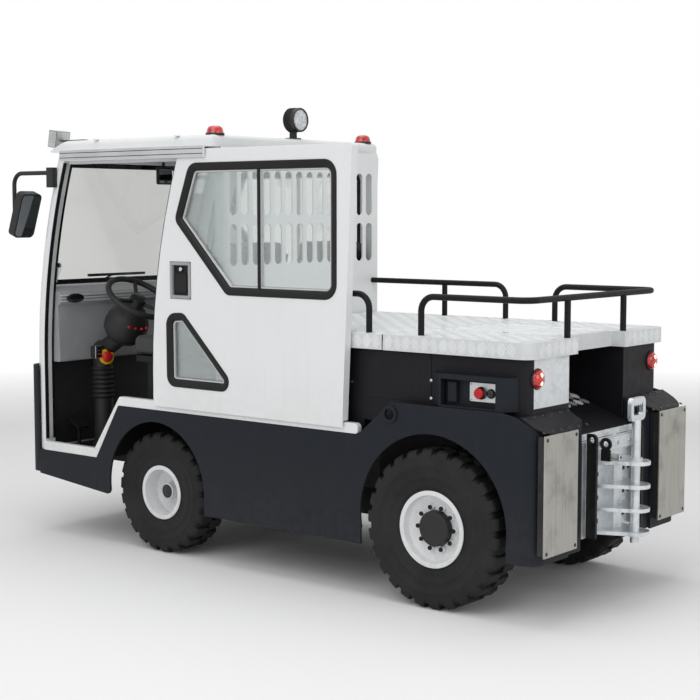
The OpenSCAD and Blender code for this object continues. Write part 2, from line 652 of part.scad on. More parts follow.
module cab_floor() color(black) stand() {
  side_plate(-cab_half, 2 * cab_half)
    polygon([[cab_x, platform_z], [knee_x - 4, platform_z], [well_x - 4, step_z],
      [nose_base_x - pillar_d - seat, step_z], [nose_base_x - pillar_d - seat, step_z - floor_t],
      [well_x - 8, step_z - floor_t], [knee_x - 8, platform_z - floor_t], [cab_x, platform_z - floor_t]]);
  side_plate(-nose_in + seat, 2 * (nose_in - seat))
    polygon([[nose_base_x - pillar_d - seat, step_z], [nose_base_x - front_wall_t - seat, step_z],
      [nose_base_x - front_wall_t - seat, step_z - floor_t],
        [nose_base_x - pillar_d - seat, step_z - floor_t]]);
}
module cab_sills() color(white) stand() both_sides()
  side_plate(cab_half + seat, half_w - cab_half - seat)
  outline([[nose_base_x - pillar_d - seat, step_z, 0], [well_x + 9, step_z, 4], [knee_x + 8, sill_z, 14],
    [sill_end_x, sill_z, 14], [sill_end_x, sill_z + sill_h, 20], [knee_x - 2, sill_z + sill_h, 16],
    [well_x + 22, step_z + sill_h, 6], [nose_base_x - pillar_d - seat, step_z + sill_h, 0]]);

roof_back_x = cab_x + 32;
roof_front_x = nose_x(nose_top_z);
band_x = [cab_x + 60, roof_front_x - 96];
band_y = door_out + 7;
band_t = 8;
band_drop = 47;
header_w = 38;
header_h = 60;
module roof() color(white) stand() {
  intersection() {
    side_plate(-band_y - band_t, 2 * (band_y + band_t))
      outline([[roof_back_x, roof_under, 0], [roof_back_x, roof_z, 18], [roof_front_x - 110, roof_z, 40],
        [roof_front_x + 6, roof_under + 8, 6], [roof_front_x + 6, roof_under, 0]]);
    cross_plate(0, nose_base_x) outline([[-half_w, roof_under, 0], [half_w, roof_under, 0],
      [half_w, roof_z, 26], [-half_w, roof_z, 26]]);
  }
  both_sides() {
    block(band_x, [half_w - 40, band_y + band_t], [roof_under, roof_under + 8]);
    block(band_x, [band_y, band_y + band_t], [roof_under - band_drop, roof_under]);
    block([cab_x + 54, pillar_x(roof_under) - 2], [cab_half - header_w, cab_half],
      [roof_under - header_h, roof_under]);
  }
}

wall_t = 8;
slot_columns = 14;
slot_pitch = 78;
slot_w = 51;
slot_rows = [[1403, 1597], [1636, 1848]];
post_w = 38;
module grille_slot(y, z) {
  translate([y - slot_w / 2, z[0] + slot_w / 2]) square([slot_w, z[1] - z[0] - slot_w]);
  translate([y, z[0] + slot_w / 2]) circle(d = slot_w);
  translate([y, z[1] - slot_w / 2]) circle(d = slot_w);
}
module rear_wall() color(white) stand() {
  cross_plate(cab_x, wall_t) difference() {
    translate([-cab_half, platform_z]) square([2 * cab_half, roof_under - platform_z]);
    for (i = [0:slot_columns - 1])
      for (row = slot_rows)
        grille_slot((i - (slot_columns - 1) / 2) * slot_pitch, row);
  }
  both_sides()
    block([cab_x + wall_t, cab_x + 54], [cab_half - post_w, cab_half], [platform_z, roof_under - header_h - seat]);
}

module dashboard() color(grey) stand() {
  back = nose_base_x - front_wall_t - seat;
  half = nose_in - seat;
  side_plate(-half, 2 * half)
    outline([[back - 1, 880, 0], [back - 100, 880, 10], [back - 86, 1168, 16], [back - 112, 1186, 8],
      [back - 108, 1236, 18], [nose_x(1268) - front_wall_t - 1, 1268, 0]]);
}

// Steering wheel, its column and the pedals

wheel_x = front_x + 420;
wheel_y = 300;
wheel_z = 1215;
wheel_lean = 34;
rim_r = 15;
shaft_r = 14;
module at_wheel() translate([wheel_x, wheel_y, wheel_z]) rotate([0, -wheel_lean, 0]) children();
module steering_wheel() color(black) stand() at_wheel() {
  rotate_extrude() translate([wheel_d / 2 - rim_r, 0]) circle(r = rim_r);
  difference() {
    translate([0, 0, -52]) cylinder(h = 54, r = 42);
    translate([0, 0, -53]) cylinder(h = 40, r = shaft_r + fit);
  }
  for (a = [90, 210, 330])
    rotate([0, 0, a]) rod([30, 0, -22], [wheel_d / 2 - rim_r, 0, 0], 10);
}
column_x = front_x + 700;
column_r = 50;
column_h = 500;
bellows_z = 250;
bellows_ribs = 7;
rib_pitch = 24;
rib_h = 10;
module steering_column() color(black) stand() {
  at_wheel() {
    translate([0, 0, -100]) cylinder(h = 84, r = shaft_r);
    rotate_extrude() outline([[0, -260, 0], [60, -260, 20], [108, -200, 40], [104, -120, 30],
      [64, -66, 14], [0, -66, 0]]);
  }
  translate([column_x, wheel_y, step_z]) rotate_extrude() polygon(concat(
    [[0, 0], [column_r + 14, 0], [column_r, 30]],
    [for (i = [0:bellows_ribs - 1])
      each [[column_r, bellows_z + i * rib_pitch], [column_r + rib_h, bellows_z + (i + 0.5) * rib_pitch]]],
    [[column_r, bellows_z + bellows_ribs * rib_pitch], [column_r, column_h], [0, column_h]]));
  translate([column_x, wheel_y, step_z + column_h]) sphere(r = column_r + 6);
  rod([column_x, wheel_y, step_z + column_h], [wheel_x + 140, wheel_y, wheel_z - 206], column_r - 4);
  rod([column_x - 40, wheel_y + 24, step_z + 470], [column_x - 78, wheel_y + 40, step_z + 474], 20);
}
pedal_y = [170, 420];
pedal_x = front_x + 760;
module pedals() color(black) stand() for (y = pedal_y) {
  translate([pedal_x, y, step_z]) cylinder(h = 124, r = 9);
  translate([pedal_x - 40, y - 34, step_z + 108]) rotate([0, 62, 0]) cube([12, 68, 110]);
}

seat_y = 300;
seat_x = front_x - 220;
cushion_l = 460;
cushion_w = 450;
cushion_z = platform_z + 236;
cushion_t = 105;
back_h = 520;
back_t = 105;
seat_lean = 10;
back_lift = 58;
module seat_frames() color(black) stand() both_sides() {
  block([seat_x + 40, seat_x + cushion_l - 60], [seat_y - 170, seat_y + 170], [platform_z, cushion_z - 30]);
  block([seat_x - 150, seat_x + cushion_l - 20], [seat_y - cushion_w / 2 + 16, seat_y + cushion_w / 2 - 16],
    [cushion_z - 30, cushion_z]);
  at_seat_back() translate([-70, -cushion_w / 2 + 30, back_t + seat])
    cube([back_h + 20, cushion_w - 60, 14]);
}
module at_seat_back() translate([seat_x - 8, seat_y, cushion_z + seat + back_lift])
  rotate([0, -90 - seat_lean, 0]) children();
module cushion(l, w, t) hull() for (x = [t / 3, l - t / 3])
  for (y = [-w / 2 + t / 3, w / 2 - t / 3])
    for (z = [t / 3, t - t / 3])
      translate([x, y, z]) sphere(r = t / 3, $fn = 16);
module seats() color(charcoal) stand() both_sides() {
  translate([seat_x, seat_y, cushion_z + seat]) cushion(cushion_l, cushion_w, cushion_t);
  at_seat_back() cushion(back_h, cushion_w, back_t);
}

// Sliding doors, drawn closed; the left one stands open

function door_edge(z) = pillar_x(z) - free_gap;
door_back_top = cab_x + 30;
door_back_low = cab_x + 84;
door_edge_steps = 8;
module door_outline(z0) polygon(concat(
  rounded([[door_back_low, z0, 0], [door_back_top, door_top_z, 14],
    [door_edge(door_top_z) - 20, door_top_z, 0]])
  , [for (k = [0:door_edge_steps])
      let (z = door_top_z - 16 - (door_top_z - 16 - z0) * k / door_edge_steps) [door_edge(z), z]]));
window_top = 1872;
window_low = 1281;
window_back = cab_x + 120;
// Corners of the upper and the lower window, seen from the left
upper_window = [[window_back, window_low, 62], [cab_x + 760, window_low, 40], [cab_x + 1086, 1616, 40],
  [cab_x + 990, window_top, 55], [window_back, window_top, 62]];
lower_window = [[cab_x + 702, 836, 40], [cab_x + 1148, 836, 46], [cab_x + 1150, 1170, 52],
  [cab_x + 1046, 1176, 46]];
module window_cut(c, wider) offset(delta = wider) outline(c);
lip_t = 6;
shoe_x = [cab_x + 150, cab_x + 630];
shoe_l = 60;
module door() {
  difference() {
    union() {
      side_plate(door_in, door_t) door_outline(door_z);
      side_plate(door_out - lip_t, lip_t) door_outline(door_lip_z);
    }
    side_plate(door_in - 1, door_t + 2) {
      outline(upper_window);
      outline(lower_window);
    }
    block([cab_x + 990, cab_x + 1130], [door_out - 14, door_out + 1], [1246, 1422]);
  }
  for (x = shoe_x)
    block([x, x + shoe_l], [door_in + 4, door_in + 22], [sill_z + sill_h + seat, door_z]);
}
seal_w = 30;
seal_proud = 4;
pane_t = 5;
pane_y = door_in + 16;
module window_seal(c) difference() {
  side_plate(door_in + 2, door_t + seal_proud - 2) outline(c);
  side_plate(door_in, door_t + seal_proud + 2) offset(delta = -seal_w) outline(c);
}
module pane(c) side_plate(pane_y, pane_t) offset(delta = -seal_w - seat) outline(c);
module door_panes() {
  pane(upper_window);
  pane(lower_window);
}
module door_trim() {
  window_seal(upper_window);
  window_seal(lower_window);
  block([cab_x + 994, cab_x + 1126], [door_out - 14, door_out + 3], [1250, 1418]);
}
module at_left_door() stand() translate([-door_travel, 0, 0]) children();
module at_right_door() stand() mirror([0, 1, 0]) children();
module door_left() color(white) at_left_door() door();
module door_right() color(white) at_right_door() door();
module door_left_glass() color(glass) at_left_door() door_panes();
module door_right_glass() color(glass) at_right_door() door_panes();
module door_left_trim() color(black) at_left_door() door_trim();
module door_right_trim() color(black) at_right_door() door_trim();

// Mirrors, wiper and lamps

arm_r = 11;
mirror_z = 1640;
mirror_h = 238;
mirror_w = 130;
mirror_d = 46;
mirror_lean = 20;
mirror_y = nose_half + 14;
arm_front_x = bumper_x + mirror_reach - arm_r;
arm_z = 1850;
bracket_mx = nose_x(1818) - 46;
module mirror_left() {
  block([bracket_mx - 24, bracket_mx + 24], [nose_half, nose_half + 30], [1776, 1876]);
  bar_x([bracket_mx, arm_front_x - 60], mirror_y, arm_z, arm_r);
  translate([arm_front_x - 60, mirror_y, arm_z - 60]) rotate([90, 0, 0])
    rotate_extrude(angle = 90) translate([60, 0]) circle(r = arm_r);
  translate([arm_front_x, mirror_y, mirror_z - 60]) cylinder(h = arm_z - mirror_z, r = arm_r);
  rod([arm_front_x, mirror_y, mirror_z], [arm_front_x - 84, mirror_y, mirror_z], arm_r);
  translate([arm_front_x - 82, mirror_y, mirror_z]) rotate([0, -mirror_lean, 0])
    cross_plate(-mirror_d / 2, mirror_d)
      outline([[-mirror_w / 2, -mirror_h / 2, 26], [mirror_w / 2, -mirror_h / 2, 26],
        [mirror_w / 2, mirror_h / 2, 26], [-mirror_w / 2, mirror_h / 2, 26]]);
}
module mirrors() color(black) stand() both_sides() mirror_left();

wiper_z = 1316;
wiper_boss_y = 213;
wiper_boss_z = 1246;
wiper_boss_r = 14;
module wiper() color(black) stand() {
  x = nose_x(wiper_z) + 12;
  boss_x = nose_face(wiper_boss_z - wiper_boss_r) + seat;
  bar_x([boss_x, boss_x + 22], wiper_boss_y, wiper_boss_z, wiper_boss_r);
  rod([boss_x + 16, wiper_boss_y, wiper_boss_z], [x + 8, 45, wiper_z], 5);
  block([x - 8, x + 10], [-180, 224], [wiper_z - 7, wiper_z + 7]);
}
headlamp_y = 430;
headlamp_z = 690;
module headlamps() color(white) stand() both_sides() {
  bar_x([bumper_x, bumper_x + 16], headlamp_y, headlamp_z, 74);
  bar_x([bumper_x + 16, bumper_x + 26], headlamp_y, headlamp_z, 62);
}
beacon_x = cab_x + 74;
beacon_y = 548;
module beacons() color(red) stand() both_sides() translate([beacon_x, beacon_y, roof_z]) {
  cylinder(h = 8, r = 44);
  translate([0, 0, 8]) cylinder(h = 34, r1 = 42, r2 = 33);
}
spot_x = cab_x + 74;
spot_z = roof_z + 92;
spot_r = 56;
flood_y = 545;
flood_w = 88;
module work_lamps() color(black) stand() {
  block([spot_x - 24, spot_x + 24], [-32, 32], [roof_z, roof_z + 6]);
  block([spot_x - 12, spot_x + 12], [-14, 14], [roof_z, spot_z]);
  bar_x([spot_x - 46, spot_x + 18], 0, spot_z, spot_r);
  both_sides() {
    block([roof_front_x - 190, roof_front_x], [flood_y - 14, flood_y + 14], [roof_z, roof_z + 6]);
    translate([roof_front_x - 6, flood_y - flood_w / 2, roof_z - 34]) rotate([0, -10, 0])
      cube([58, flood_w, 84]);
  }
}

chassis_frame();
front_axle();
knuckle_left();
knuckle_right();
tie_rod();
drive_axle();
traction_motor();
battery();
side_skirt_left();
side_skirt_right();
front_bumper();
rear_weights();
buffer_pads();
push_plates();
rear_covers();
hood();
deck_front();
deck_rear();
deck_rails();
control_box();
tail_lamps();
tow_coupling();
coupling_pin();
lashing_eyes();
cab_floor();
cab_sills();
cab_front();
windshield();
roof();
rear_wall();
dashboard();
steering_column();
steering_wheel();
pedals();
seat_frames();
seats();
door_left();
door_right();
door_left_glass();
door_right_glass();
door_left_trim();
door_right_trim();
mirrors();
wiper();
headlamps();
beacons();
work_lamps();
tyre_rear_left();
tyre_rear_right();
tyre_front_left();
tyre_front_right();
rim_rear_left();
rim_rear_right();
rim_front_left();
rim_front_right();
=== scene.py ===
import json
from math import acos, atan2, cos, pi, radians, sin, tan
import bpy
import bmesh
from mathutils import Matrix, Vector


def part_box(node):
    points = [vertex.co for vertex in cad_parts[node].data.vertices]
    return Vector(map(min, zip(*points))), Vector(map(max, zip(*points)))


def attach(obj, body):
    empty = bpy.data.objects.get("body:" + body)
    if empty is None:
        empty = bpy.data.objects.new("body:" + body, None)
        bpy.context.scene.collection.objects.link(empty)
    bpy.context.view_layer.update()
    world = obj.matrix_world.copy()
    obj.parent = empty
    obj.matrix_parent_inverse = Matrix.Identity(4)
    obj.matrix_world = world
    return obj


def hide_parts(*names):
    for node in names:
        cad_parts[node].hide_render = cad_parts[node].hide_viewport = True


ops = bmesh.ops

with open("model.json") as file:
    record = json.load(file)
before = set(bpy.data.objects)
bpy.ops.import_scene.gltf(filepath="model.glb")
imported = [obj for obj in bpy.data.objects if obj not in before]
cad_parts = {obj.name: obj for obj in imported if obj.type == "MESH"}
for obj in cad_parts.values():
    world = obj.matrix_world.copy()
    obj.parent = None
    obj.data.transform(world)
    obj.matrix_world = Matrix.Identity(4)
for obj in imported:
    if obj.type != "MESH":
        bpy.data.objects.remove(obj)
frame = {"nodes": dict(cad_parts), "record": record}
scene = bpy.context.scene
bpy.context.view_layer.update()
record = frame["record"]
slotOf = {part["node"]: part["material_slot"] for part in record["subparts"]}
bodyOf = {node: body for body, nodes in record["behaviour"]["bodies"].items() for node in nodes}
print("frame loaded:", len(frame["nodes"]), "nodes")

rearAxle = -0.9885  # rear axle's place along X, pieces are drawn in mm from there
sides = {"left": 1, "right": -1}
forwards, backwards, outwards, upwards = (1, 0, 0), (-1, 0, 0), (0, 1, 0), (0, 0, 1)


# shader sockets, with sums on them written as plain expressions
class Wire:
    def __init__(self, tree, socket=None):
        self.tree = tree
        self.socket = socket

    def make(self, kind, values, out=0, **settings):
        node = self.tree.nodes.new("ShaderNode" + kind)
        for key, value in settings.items():
            setattr(node, key, value)
        for key, value in values.items():
            if isinstance(value, Wire):
                self.tree.links.new(value.socket, node.inputs[key])
            else:
                node.inputs[key].default_value = value
        return Wire(self.tree, node.outputs[out])

    def calc(self, how, a, b):
        return self.make("Math", {0: a, 1: b}, operation=how)

    def __add__(self, other):
        return self.calc("ADD", self, other)

    def __radd__(self, other):
        return self.calc("ADD", other, self)

    def __mul__(self, other):
        return self.calc("MULTIPLY", self, other)

    def __rmul__(self, other):
        return self.calc("MULTIPLY", other, self)


def noise(at, scale, detail=3.0, rough=0.55):
    values = {"Vector": at, "Scale": scale, "Detail": detail, "Roughness": rough}
    return at.make("TexNoise", values)


def cellsOf(at, scale, feature="F1", out="Distance"):
    return at.make("TexVoronoi", {"Vector": at, "Scale": scale}, out, feature=feature)


def stretch(at, scale):
    return at.make("Mapping", {"Vector": at, "Scale": scale})


def between(value, low, high, start=0.0, end=1.0):
    return value.make("MapRange", {0: value, 1: low, 2: high, 3: start, 4: end})


def blendColour(mask, a, b):
    return mask.make("Mix", {0: mask, 6: a, 7: b}, 2, data_type="RGBA")


def bumpOf(height, strength, depth):
    return height.make("Bump", {"Height": height, "Strength": strength, "Distance": depth})


def axis(at, which):
    return at.make("SeparateXYZ", {0: at}, "XYZ".index(which))


def rgb(*steps):
    # sRGB steps of 255 as the linear colour that nodes take
    parts = [step / 255 for step in steps]
    return tuple(p / 12.92 if p <= 0.04 else ((p + 0.055) / 1.055) ** 2.4 for p in parts) + (1.0,)


def shaded(colour, part):
    return tuple(c * part for c in colour[:3]) + (1.0,)


finishes = {}


def newFinish(name, colour, rough, metal=0.0, coat=0.0, specular=0.5):
    look = bpy.data.materials.new(name)
    look.use_nodes = True
    shader = look.node_tree.nodes["Principled BSDF"]
    values = {"Base Color": colour, "Roughness": rough, "Metallic": metal, "Coat Weight": coat,
              "Coat Roughness": 0.12, "Specular IOR Level": specular}
    for key, value in values.items():
        shader.inputs[key].default_value = value
    finishes[name] = look
    place = Wire(look.node_tree).make("TexCoord", {}, "Object")
    return look, place


def feed(look, **wires):
    names = {"colour": "Base Color", "rough": "Roughness", "glow": "Emission Color", "normal": "Normal"}
    shader = look.node_tree.nodes["Principled BSDF"]
    for key, wire in wires.items():
        look.node_tree.links.new(wire.socket, shader.inputs[names[key]])


# paint: faint clouds, fine orange peel, dust towards the ground and thin streaks
def paintFinish(name, colour, dust, rough, peel, coat, dustHeight, grime, specular=0.4):
    look, at = newFinish(name, colour, rough, 0.0, coat, specular)
    cloud = noise(at, 2.3, 4.0)
    fine = noise(at, 26.0, 5.0, 0.65)
    low = between(axis(at, "Z"), dustHeight[1], dustHeight[0])
    dirt = low * between(fine + cloud * 0.6, 0.62, 1.05) * grime
    streak = between(noise(stretch(at, (38, 38, 1.6)), 1.0, 3.0), 0.55, 0.8) * 0.18 * grime
    shade = blendColour(between(cloud, 0.3, 0.7) * 0.35, colour, shaded(colour, 0.88))
    shade = blendColour(dirt + streak, shade, dust)
    grain = noise(at, 420.0, 2.0) * 0.6 + noise(at, 90.0, 2.0)
    feed(look, colour=shade, rough=rough + between(fine, 0.3, 0.75) * 0.16 + dirt * 0.3,
         normal=bumpOf(grain, peel, 0.0006))


# bare or plated metal with a drawn grain along one axis
def drawnMetal(name, colour, dark, rough, grain, wear=0.5):
    look, at = newFinish(name, colour, rough, 1.0, 0.0, 0.5)
    lines = noise(stretch(at, grain), 1.0, 4.0, 0.7)
    cloud = noise(at, 7.0, 4.0)
    stain = between(cloud, 0.5, 0.72) * wear
    feed(look, colour=blendColour(stain + between(lines, 0.35, 0.75) * 0.4, colour, dark),
         rough=rough + between(lines, 0.3, 0.7) * 0.22 + stain * 0.2,
         normal=bumpOf(lines, 0.22, 0.0004))


# galvanised or zinc plated sheet with a faint spangle
def zincFinish(name, colour, rough):
    look, at = newFinish(name, colour, rough, 0.85, 0.0, 0.5)
    cell = axis(cellsOf(at, 55.0, out="Color"), "X")
    cloud = noise(at, 9.0, 5.0)
    shade = blendColour(cell * 0.35, colour, shaded(colour, 0.72))
    shade = blendColour(between(cloud, 0.55, 0.75) * 0.4, shade, rgb(120, 118, 112))
    feed(look, colour=shade, rough=rough + cell * 0.14 + between(cloud, 0.4, 0.7) * 0.15,
         normal=bumpOf(noise(at, 60.0, 3.0), 0.08, 0.0005))


def grainedPlastic(name, colour, rough, grain=700.0, depth=0.25, specular=0.4):
    look, at = newFinish(name, colour, rough, 0.0, 0.0, specular)
    pores = cellsOf(at, grain)
    cloud = noise(at, 5.0, 4.0)
    pale = tuple(min(1.0, c * 1.5 + 0.012) for c in colour[:3]) + (1.0,)
    feed(look, colour=blendColour(between(cloud, 0.4, 0.75) * 0.45, colour, pale),
         rough=rough + between(cloud, 0.35, 0.7) * 0.14, normal=bumpOf(pores, depth, 0.0005))


def rubberFinish(name, colour, dust, rough, amount):
    look, at = newFinish(name, colour, rough, 0.0, 0.0, 0.3)
    cloud = noise(at, 6.0, 5.0, 0.6)
    fine = noise(at, 130.0, 4.0, 0.7)
    film = between(cloud * 0.7 + fine * 0.5, 0.5, 0.8) * amount
    feed(look, colour=blendColour(film, colour, dust), rough=rough + film * 0.25,
         normal=bumpOf(fine, 0.18, 0.0008))


def lensFinish(name, colour, deep, glow):
    look, at = newFinish(name, colour, 0.09, 0.0, 0.8, 0.5)
    ribs = noise(stretch(at, (60, 60, 60)), 1.0, 1.0)
    shade = blendColour(between(ribs, 0.35, 0.65), colour, deep)
    feed(look, colour=shade, glow=shade, normal=bumpOf(ribs, 0.1, 0.001))
    look.node_tree.nodes["Principled BSDF"].inputs["Emission Strength"].default_value = glow


# thin panes: mostly see-through, with a mirror film that grows towards grazing view
def glassFinish(name, tint, film, sheen=0.0):
    look = bpy.data.materials.new(name)
    look.use_nodes = True
    tree = look.node_tree
    tree.nodes.remove(tree.nodes["Principled BSDF"])
    at = Wire(tree).make("TexCoord", {}, "Object")
    smear = between(noise(stretch(at, (3, 3, 9)), 1.0, 4.0), 0.5, 0.8)
    clear = at.make("BsdfTransparent", {"Color": tint})
    shine = at.make("BsdfGlossy", {"Color": (0.9, 0.95, 0.95, 1.0), "Roughness": 0.03})
    edge = at.make("Fresnel", {"IOR": 1.45})
    both = at.make("MixShader", {0: edge * film + smear * 0.03 + sheen, 1: clear, 2: shine})
    tree.links.new(both.socket, tree.nodes["Material Output"].inputs["Surface"])
    finishes[name] = look


def seatFinish(name, colour):
    look, at = newFinish(name, colour, 0.5, 0.0, 0.0, 0.45)
    creases = between(cellsOf(at, 320.0, "DISTANCE_TO_EDGE"), 0.0, 0.22)
    rub = between(noise(at, 7.0, 4.0), 0.5, 0.75)
    feed(look, colour=blendColour(rub * 0.4, colour, rgb(70, 70, 73)),
         rough=0.42 + rub * 0.16 + creases * 0.06, normal=bumpOf(creases, 0.3, 0.0007))


# paints: colour, dust, roughness, peel, coat, heights that the dust fades between, grime, specular
paintFinish("paint_white", rgb(231, 233, 234), rgb(186, 184, 178), 0.3, 0.07, 0.35, (0.4, 0.95), 0.35)
paintFinish("paint_charcoal", rgb(27, 31, 38), rgb(74, 73, 72), 0.46, 0.16, 0.0, (0.2, 0.62), 0.3, 0.18)
paintFinish("frame_black", rgb(17, 17, 18), rgb(74, 72, 69), 0.42, 0.16, 0.0, (0.2, 0.7), 0.3, 0.2)
paintFinish("hood_black", rgb(24, 24, 28), rgb(74, 73, 71), 0.42, 0.12, 0.0, (0.2, 0.7), 0.3, 0.18)
paintFinish("cast_grey", rgb(96, 97, 99), rgb(120, 112, 100), 0.6, 0.5, 0.0, (0.1, 0.6), 0.7)
paintFinish("battery_case", rgb(60, 61, 64), rgb(98, 96, 92), 0.55, 0.2, 0.0, (0.2, 0.8), 0.5)
# the deck plate and its tread bars are one material: the bars are a lighter copy as a painted highlight, the
# plate between them a little darker as painted shade
paintFinish("checker_plate", rgb(216, 219, 221), rgb(170, 169, 166), 0.36, 0.05, 0.2, (1.1, 1.2), 0.3)
paintFinish("tread_bar_painted_highlight", rgb(245, 247, 248), rgb(220, 219, 216), 0.3, 0.03, 0.3, (1.1, 1.2), 0.2)
paintFinish("rim_paint", rgb(226, 228, 229), rgb(150, 146, 140), 0.36, 0.08, 0.2, (0.1, 0.6), 0.4)
# rubbers: colour, dust, roughness, amount of dust
rubberFinish("buffer_rubber", rgb(28, 28, 29), rgb(88, 86, 83), 0.62, 0.35)
rubberFinish("seal_rubber", rgb(13, 13, 14), rgb(40, 40, 40), 0.5, 0.2)
rubberFinish("tyre_rubber", rgb(22, 22, 23), rgb(66, 64, 62), 0.7, 0.34)
# metals: colour, stain, roughness, grain, wear
drawnMetal("push_steel", rgb(182, 181, 174), rgb(128, 126, 120), 0.36, (150, 150, 3.0))
drawnMetal("alu_panel", rgb(205, 206, 207), rgb(160, 160, 160), 0.32, (4.0, 150, 150), 0.3)
drawnMetal("bright_screw", rgb(190, 190, 188), rgb(120, 118, 112), 0.28, (40, 40, 40), 0.4)
zincFinish("zinc_plate", rgb(222, 226, 229), 0.28)
zincFinish("galvanised", rgb(226, 229, 231), 0.42)
# plastics: colour, roughness, grain, depth, specular
grainedPlastic("black_plastic", rgb(30, 30, 31), 0.5)
grainedPlastic("dash_grey", rgb(150, 152, 154), 0.55)
grainedPlastic("light_grey_plastic", rgb(188, 190, 191), 0.5)
grainedPlastic("red_plastic", rgb(178, 20, 18), 0.28, 300.0, 0.05)
grainedPlastic("yellow_plastic", rgb(222, 180, 26), 0.35, 300.0, 0.05)
grainedPlastic("black_gloss", rgb(18, 18, 19), 0.16, 200.0, 0.03, 0.5)
# lenses: colour, deep colour, glow; panes: tint, mirror film, even sheen
lensFinish("lamp_red", rgb(200, 16, 12), rgb(120, 6, 5), 0.3)
lensFinish("lamp_clear", rgb(222, 226, 228), rgb(170, 176, 180), 0.05)
lensFinish("led_white", rgb(255, 236, 214), rgb(255, 214, 180), 1.0)
glassFinish("clear_glass", (0.93, 0.935, 0.93, 1.0), 0.6, 0.16)
glassFinish("screen_glass", (0.8, 0.8, 0.79, 1.0), 0.2)
seatFinish("seat_cover", rgb(44, 44, 46))
chrome, chromeAt = newFinish("chrome", rgb(214, 216, 218), 0.1, 1.0)
feed(chrome, rough=0.08 + noise(chromeAt, 30.0) * 0.1)
# the mirrors' colour is set dark, a painted shade that dims what they reflect
mirrorPaintedShade, mirrorAt = newFinish("mirror_glass_painted_shade", rgb(128, 132, 136), 0.03, 1.0)
feed(mirrorPaintedShade, rough=0.02 + between(noise(mirrorAt, 8.0), 0.45, 0.8) * 0.06)
print("finishes:", len(finishes))


def newObject(name, data):
    made = bpy.data.objects.new(name, data)
    scene.collection.objects.link(made)
    return made


def meshOf(shape, name):
    mesh = bpy.data.meshes.new(name)
    shape.to_mesh(mesh)
    shape.free()
    return mesh


def newPiece(name, mesh, body, finish, slot, *nodes):
    piece = newObject(name, mesh)
    if not mesh.materials:
        mesh.materials.append(finishes[finish])
    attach(piece, body)
    if nodes:
        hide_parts(*nodes)
    return piece


def sharpEdges(shape, angle):
    return [e for e in shape.edges if len(e.link_faces) == 2 and e.calc_face_angle(0.0) > angle]


def bevelEdges(shape, edges, width, segments=2, clamp=False):
    ops.bevel(shape, geom=edges, offset=width, offset_type="OFFSET", segments=segments, profile=0.5,
              affect="EDGES", clamp_overlap=clamp, material=-1)


def smoothShade(mesh, angle):
    # smooth faces, with edges past the angle kept sharp
    for face in mesh.polygons:
        face.use_smooth = True
    shape = bmesh.new()
    shape.from_mesh(mesh)
    for edge in shape.edges:
        edge.smooth = True
    for edge in sharpEdges(shape, radians(angle)):
        edge.smooth = False
    shape.to_mesh(mesh)
    shape.free()


def steadyNormals(piece):
    steady = piece.modifiers.new("steady normals", "WEIGHTED_NORMAL")
    steady.keep_sharp = True
    steady.weight = 80
    return piece


easing = {"weld": 2e-5, "flat": 0.4, "sharp": 32, "reweld": 1e-5, "smooth": 50}


# a CAD node with its loose triangles merged and its sharp edges eased
def easedCopy(node, width, finish=None):
    mesh = frame["nodes"][node].data.copy()
    mesh.materials.clear()
    shape = bmesh.new()
    shape.from_mesh(mesh)
    ops.remove_doubles(shape, verts=shape.verts, dist=easing["weld"])
    flat = radians(easing["flat"])
    ops.dissolve_limit(shape, angle_limit=flat, verts=shape.verts, edges=shape.edges)
    if width > 0:
        bevelEdges(shape, sharpEdges(shape, radians(easing["sharp"])), width, clamp=True)
        ops.remove_doubles(shape, verts=shape.verts, dist=easing["reweld"])
    shape.to_mesh(mesh)
    shape.free()
    smoothShade(mesh, easing["smooth"])
    slot = slotOf[node]
    return steadyNormals(newPiece(node + "_eased", mesh, bodyOf[node], finish or slot, slot, node))


# every node gets its finish; the plain ones also get eased edges
for node, shown in frame["nodes"].items():
    shown.data.materials.clear()
    shown.data.materials.append(finishes[slotOf[node]])

eased = {0.0015: "push_plates rear_covers rear_wall",
         0.002: "side_skirt_left side_skirt_right hood control_box tow_coupling cab_floor lashing_eyes "
                "chassis_frame seat_frames pedals",
         0.0025: "deck_front deck_rear",
         0.003: "front_bumper rear_weights buffer_pads door_left door_right battery front_axle",
         0.004: "cab_sills cab_front roof dashboard traction_motor"}
easedFinish = {"hood": "hood_black", "rear_covers": "hood_black"}
for width, names in eased.items():
    for node in names.split():
        easedCopy(node, width, easedFinish.get(node))
print("eased nodes")


# shapes are drawn in mm from the rear axle and put into the frame at the end
def putDown(shape, name, body, finish, slot, nodes=(), angle=40, steady=True):
    ops.scale(shape, vec=(0.001, 0.001, 0.001), verts=shape.verts)
    ops.translate(shape, vec=(rearAxle, 0, 0), verts=shape.verts)
    mesh = meshOf(shape, name)
    smoothShade(mesh, angle)
    piece = newPiece(name, mesh, body, finish, slot, *nodes)
    return steadyNormals(piece) if steady else piece


def stamp(shape, part, places):
    # adds a part to a shape once for each placing matrix
    pattern = meshOf(part, "pattern")
    for place in places:
        start = len(shape.verts)
        shape.from_mesh(pattern)
        shape.verts.ensure_lookup_table()
        ops.transform(shape, matrix=place, verts=shape.verts[start:])
    bpy.data.meshes.remove(pattern)


def repeated(part, places):
    shape = bmesh.new()
    stamp(shape, part, places)
    return shape


def facing(place, along=(0, 0, 1)):
    turn = Vector((0, 0, 1)).rotation_difference(Vector(along))
    return Matrix.Translation(place) @ turn.to_matrix().to_4x4()


def turnedPart(profile, steps=40):
    # profile of (radius, height) pairs spun about Z
    part = bmesh.new()
    verts = [part.verts.new((r, 0, h)) for r, h in profile]
    edges = [part.edges.new(pair) for pair in zip(verts, verts[1:])]
    ops.spin(part, geom=verts + edges, cent=(0, 0, 0), axis=(0, 0, 1), angle=2 * pi, steps=steps,
             use_merge=True, use_duplicate=False)
    ops.remove_doubles(part, verts=part.verts, dist=0.002)
    ops.recalc_face_normals(part, faces=part.faces)
    return part


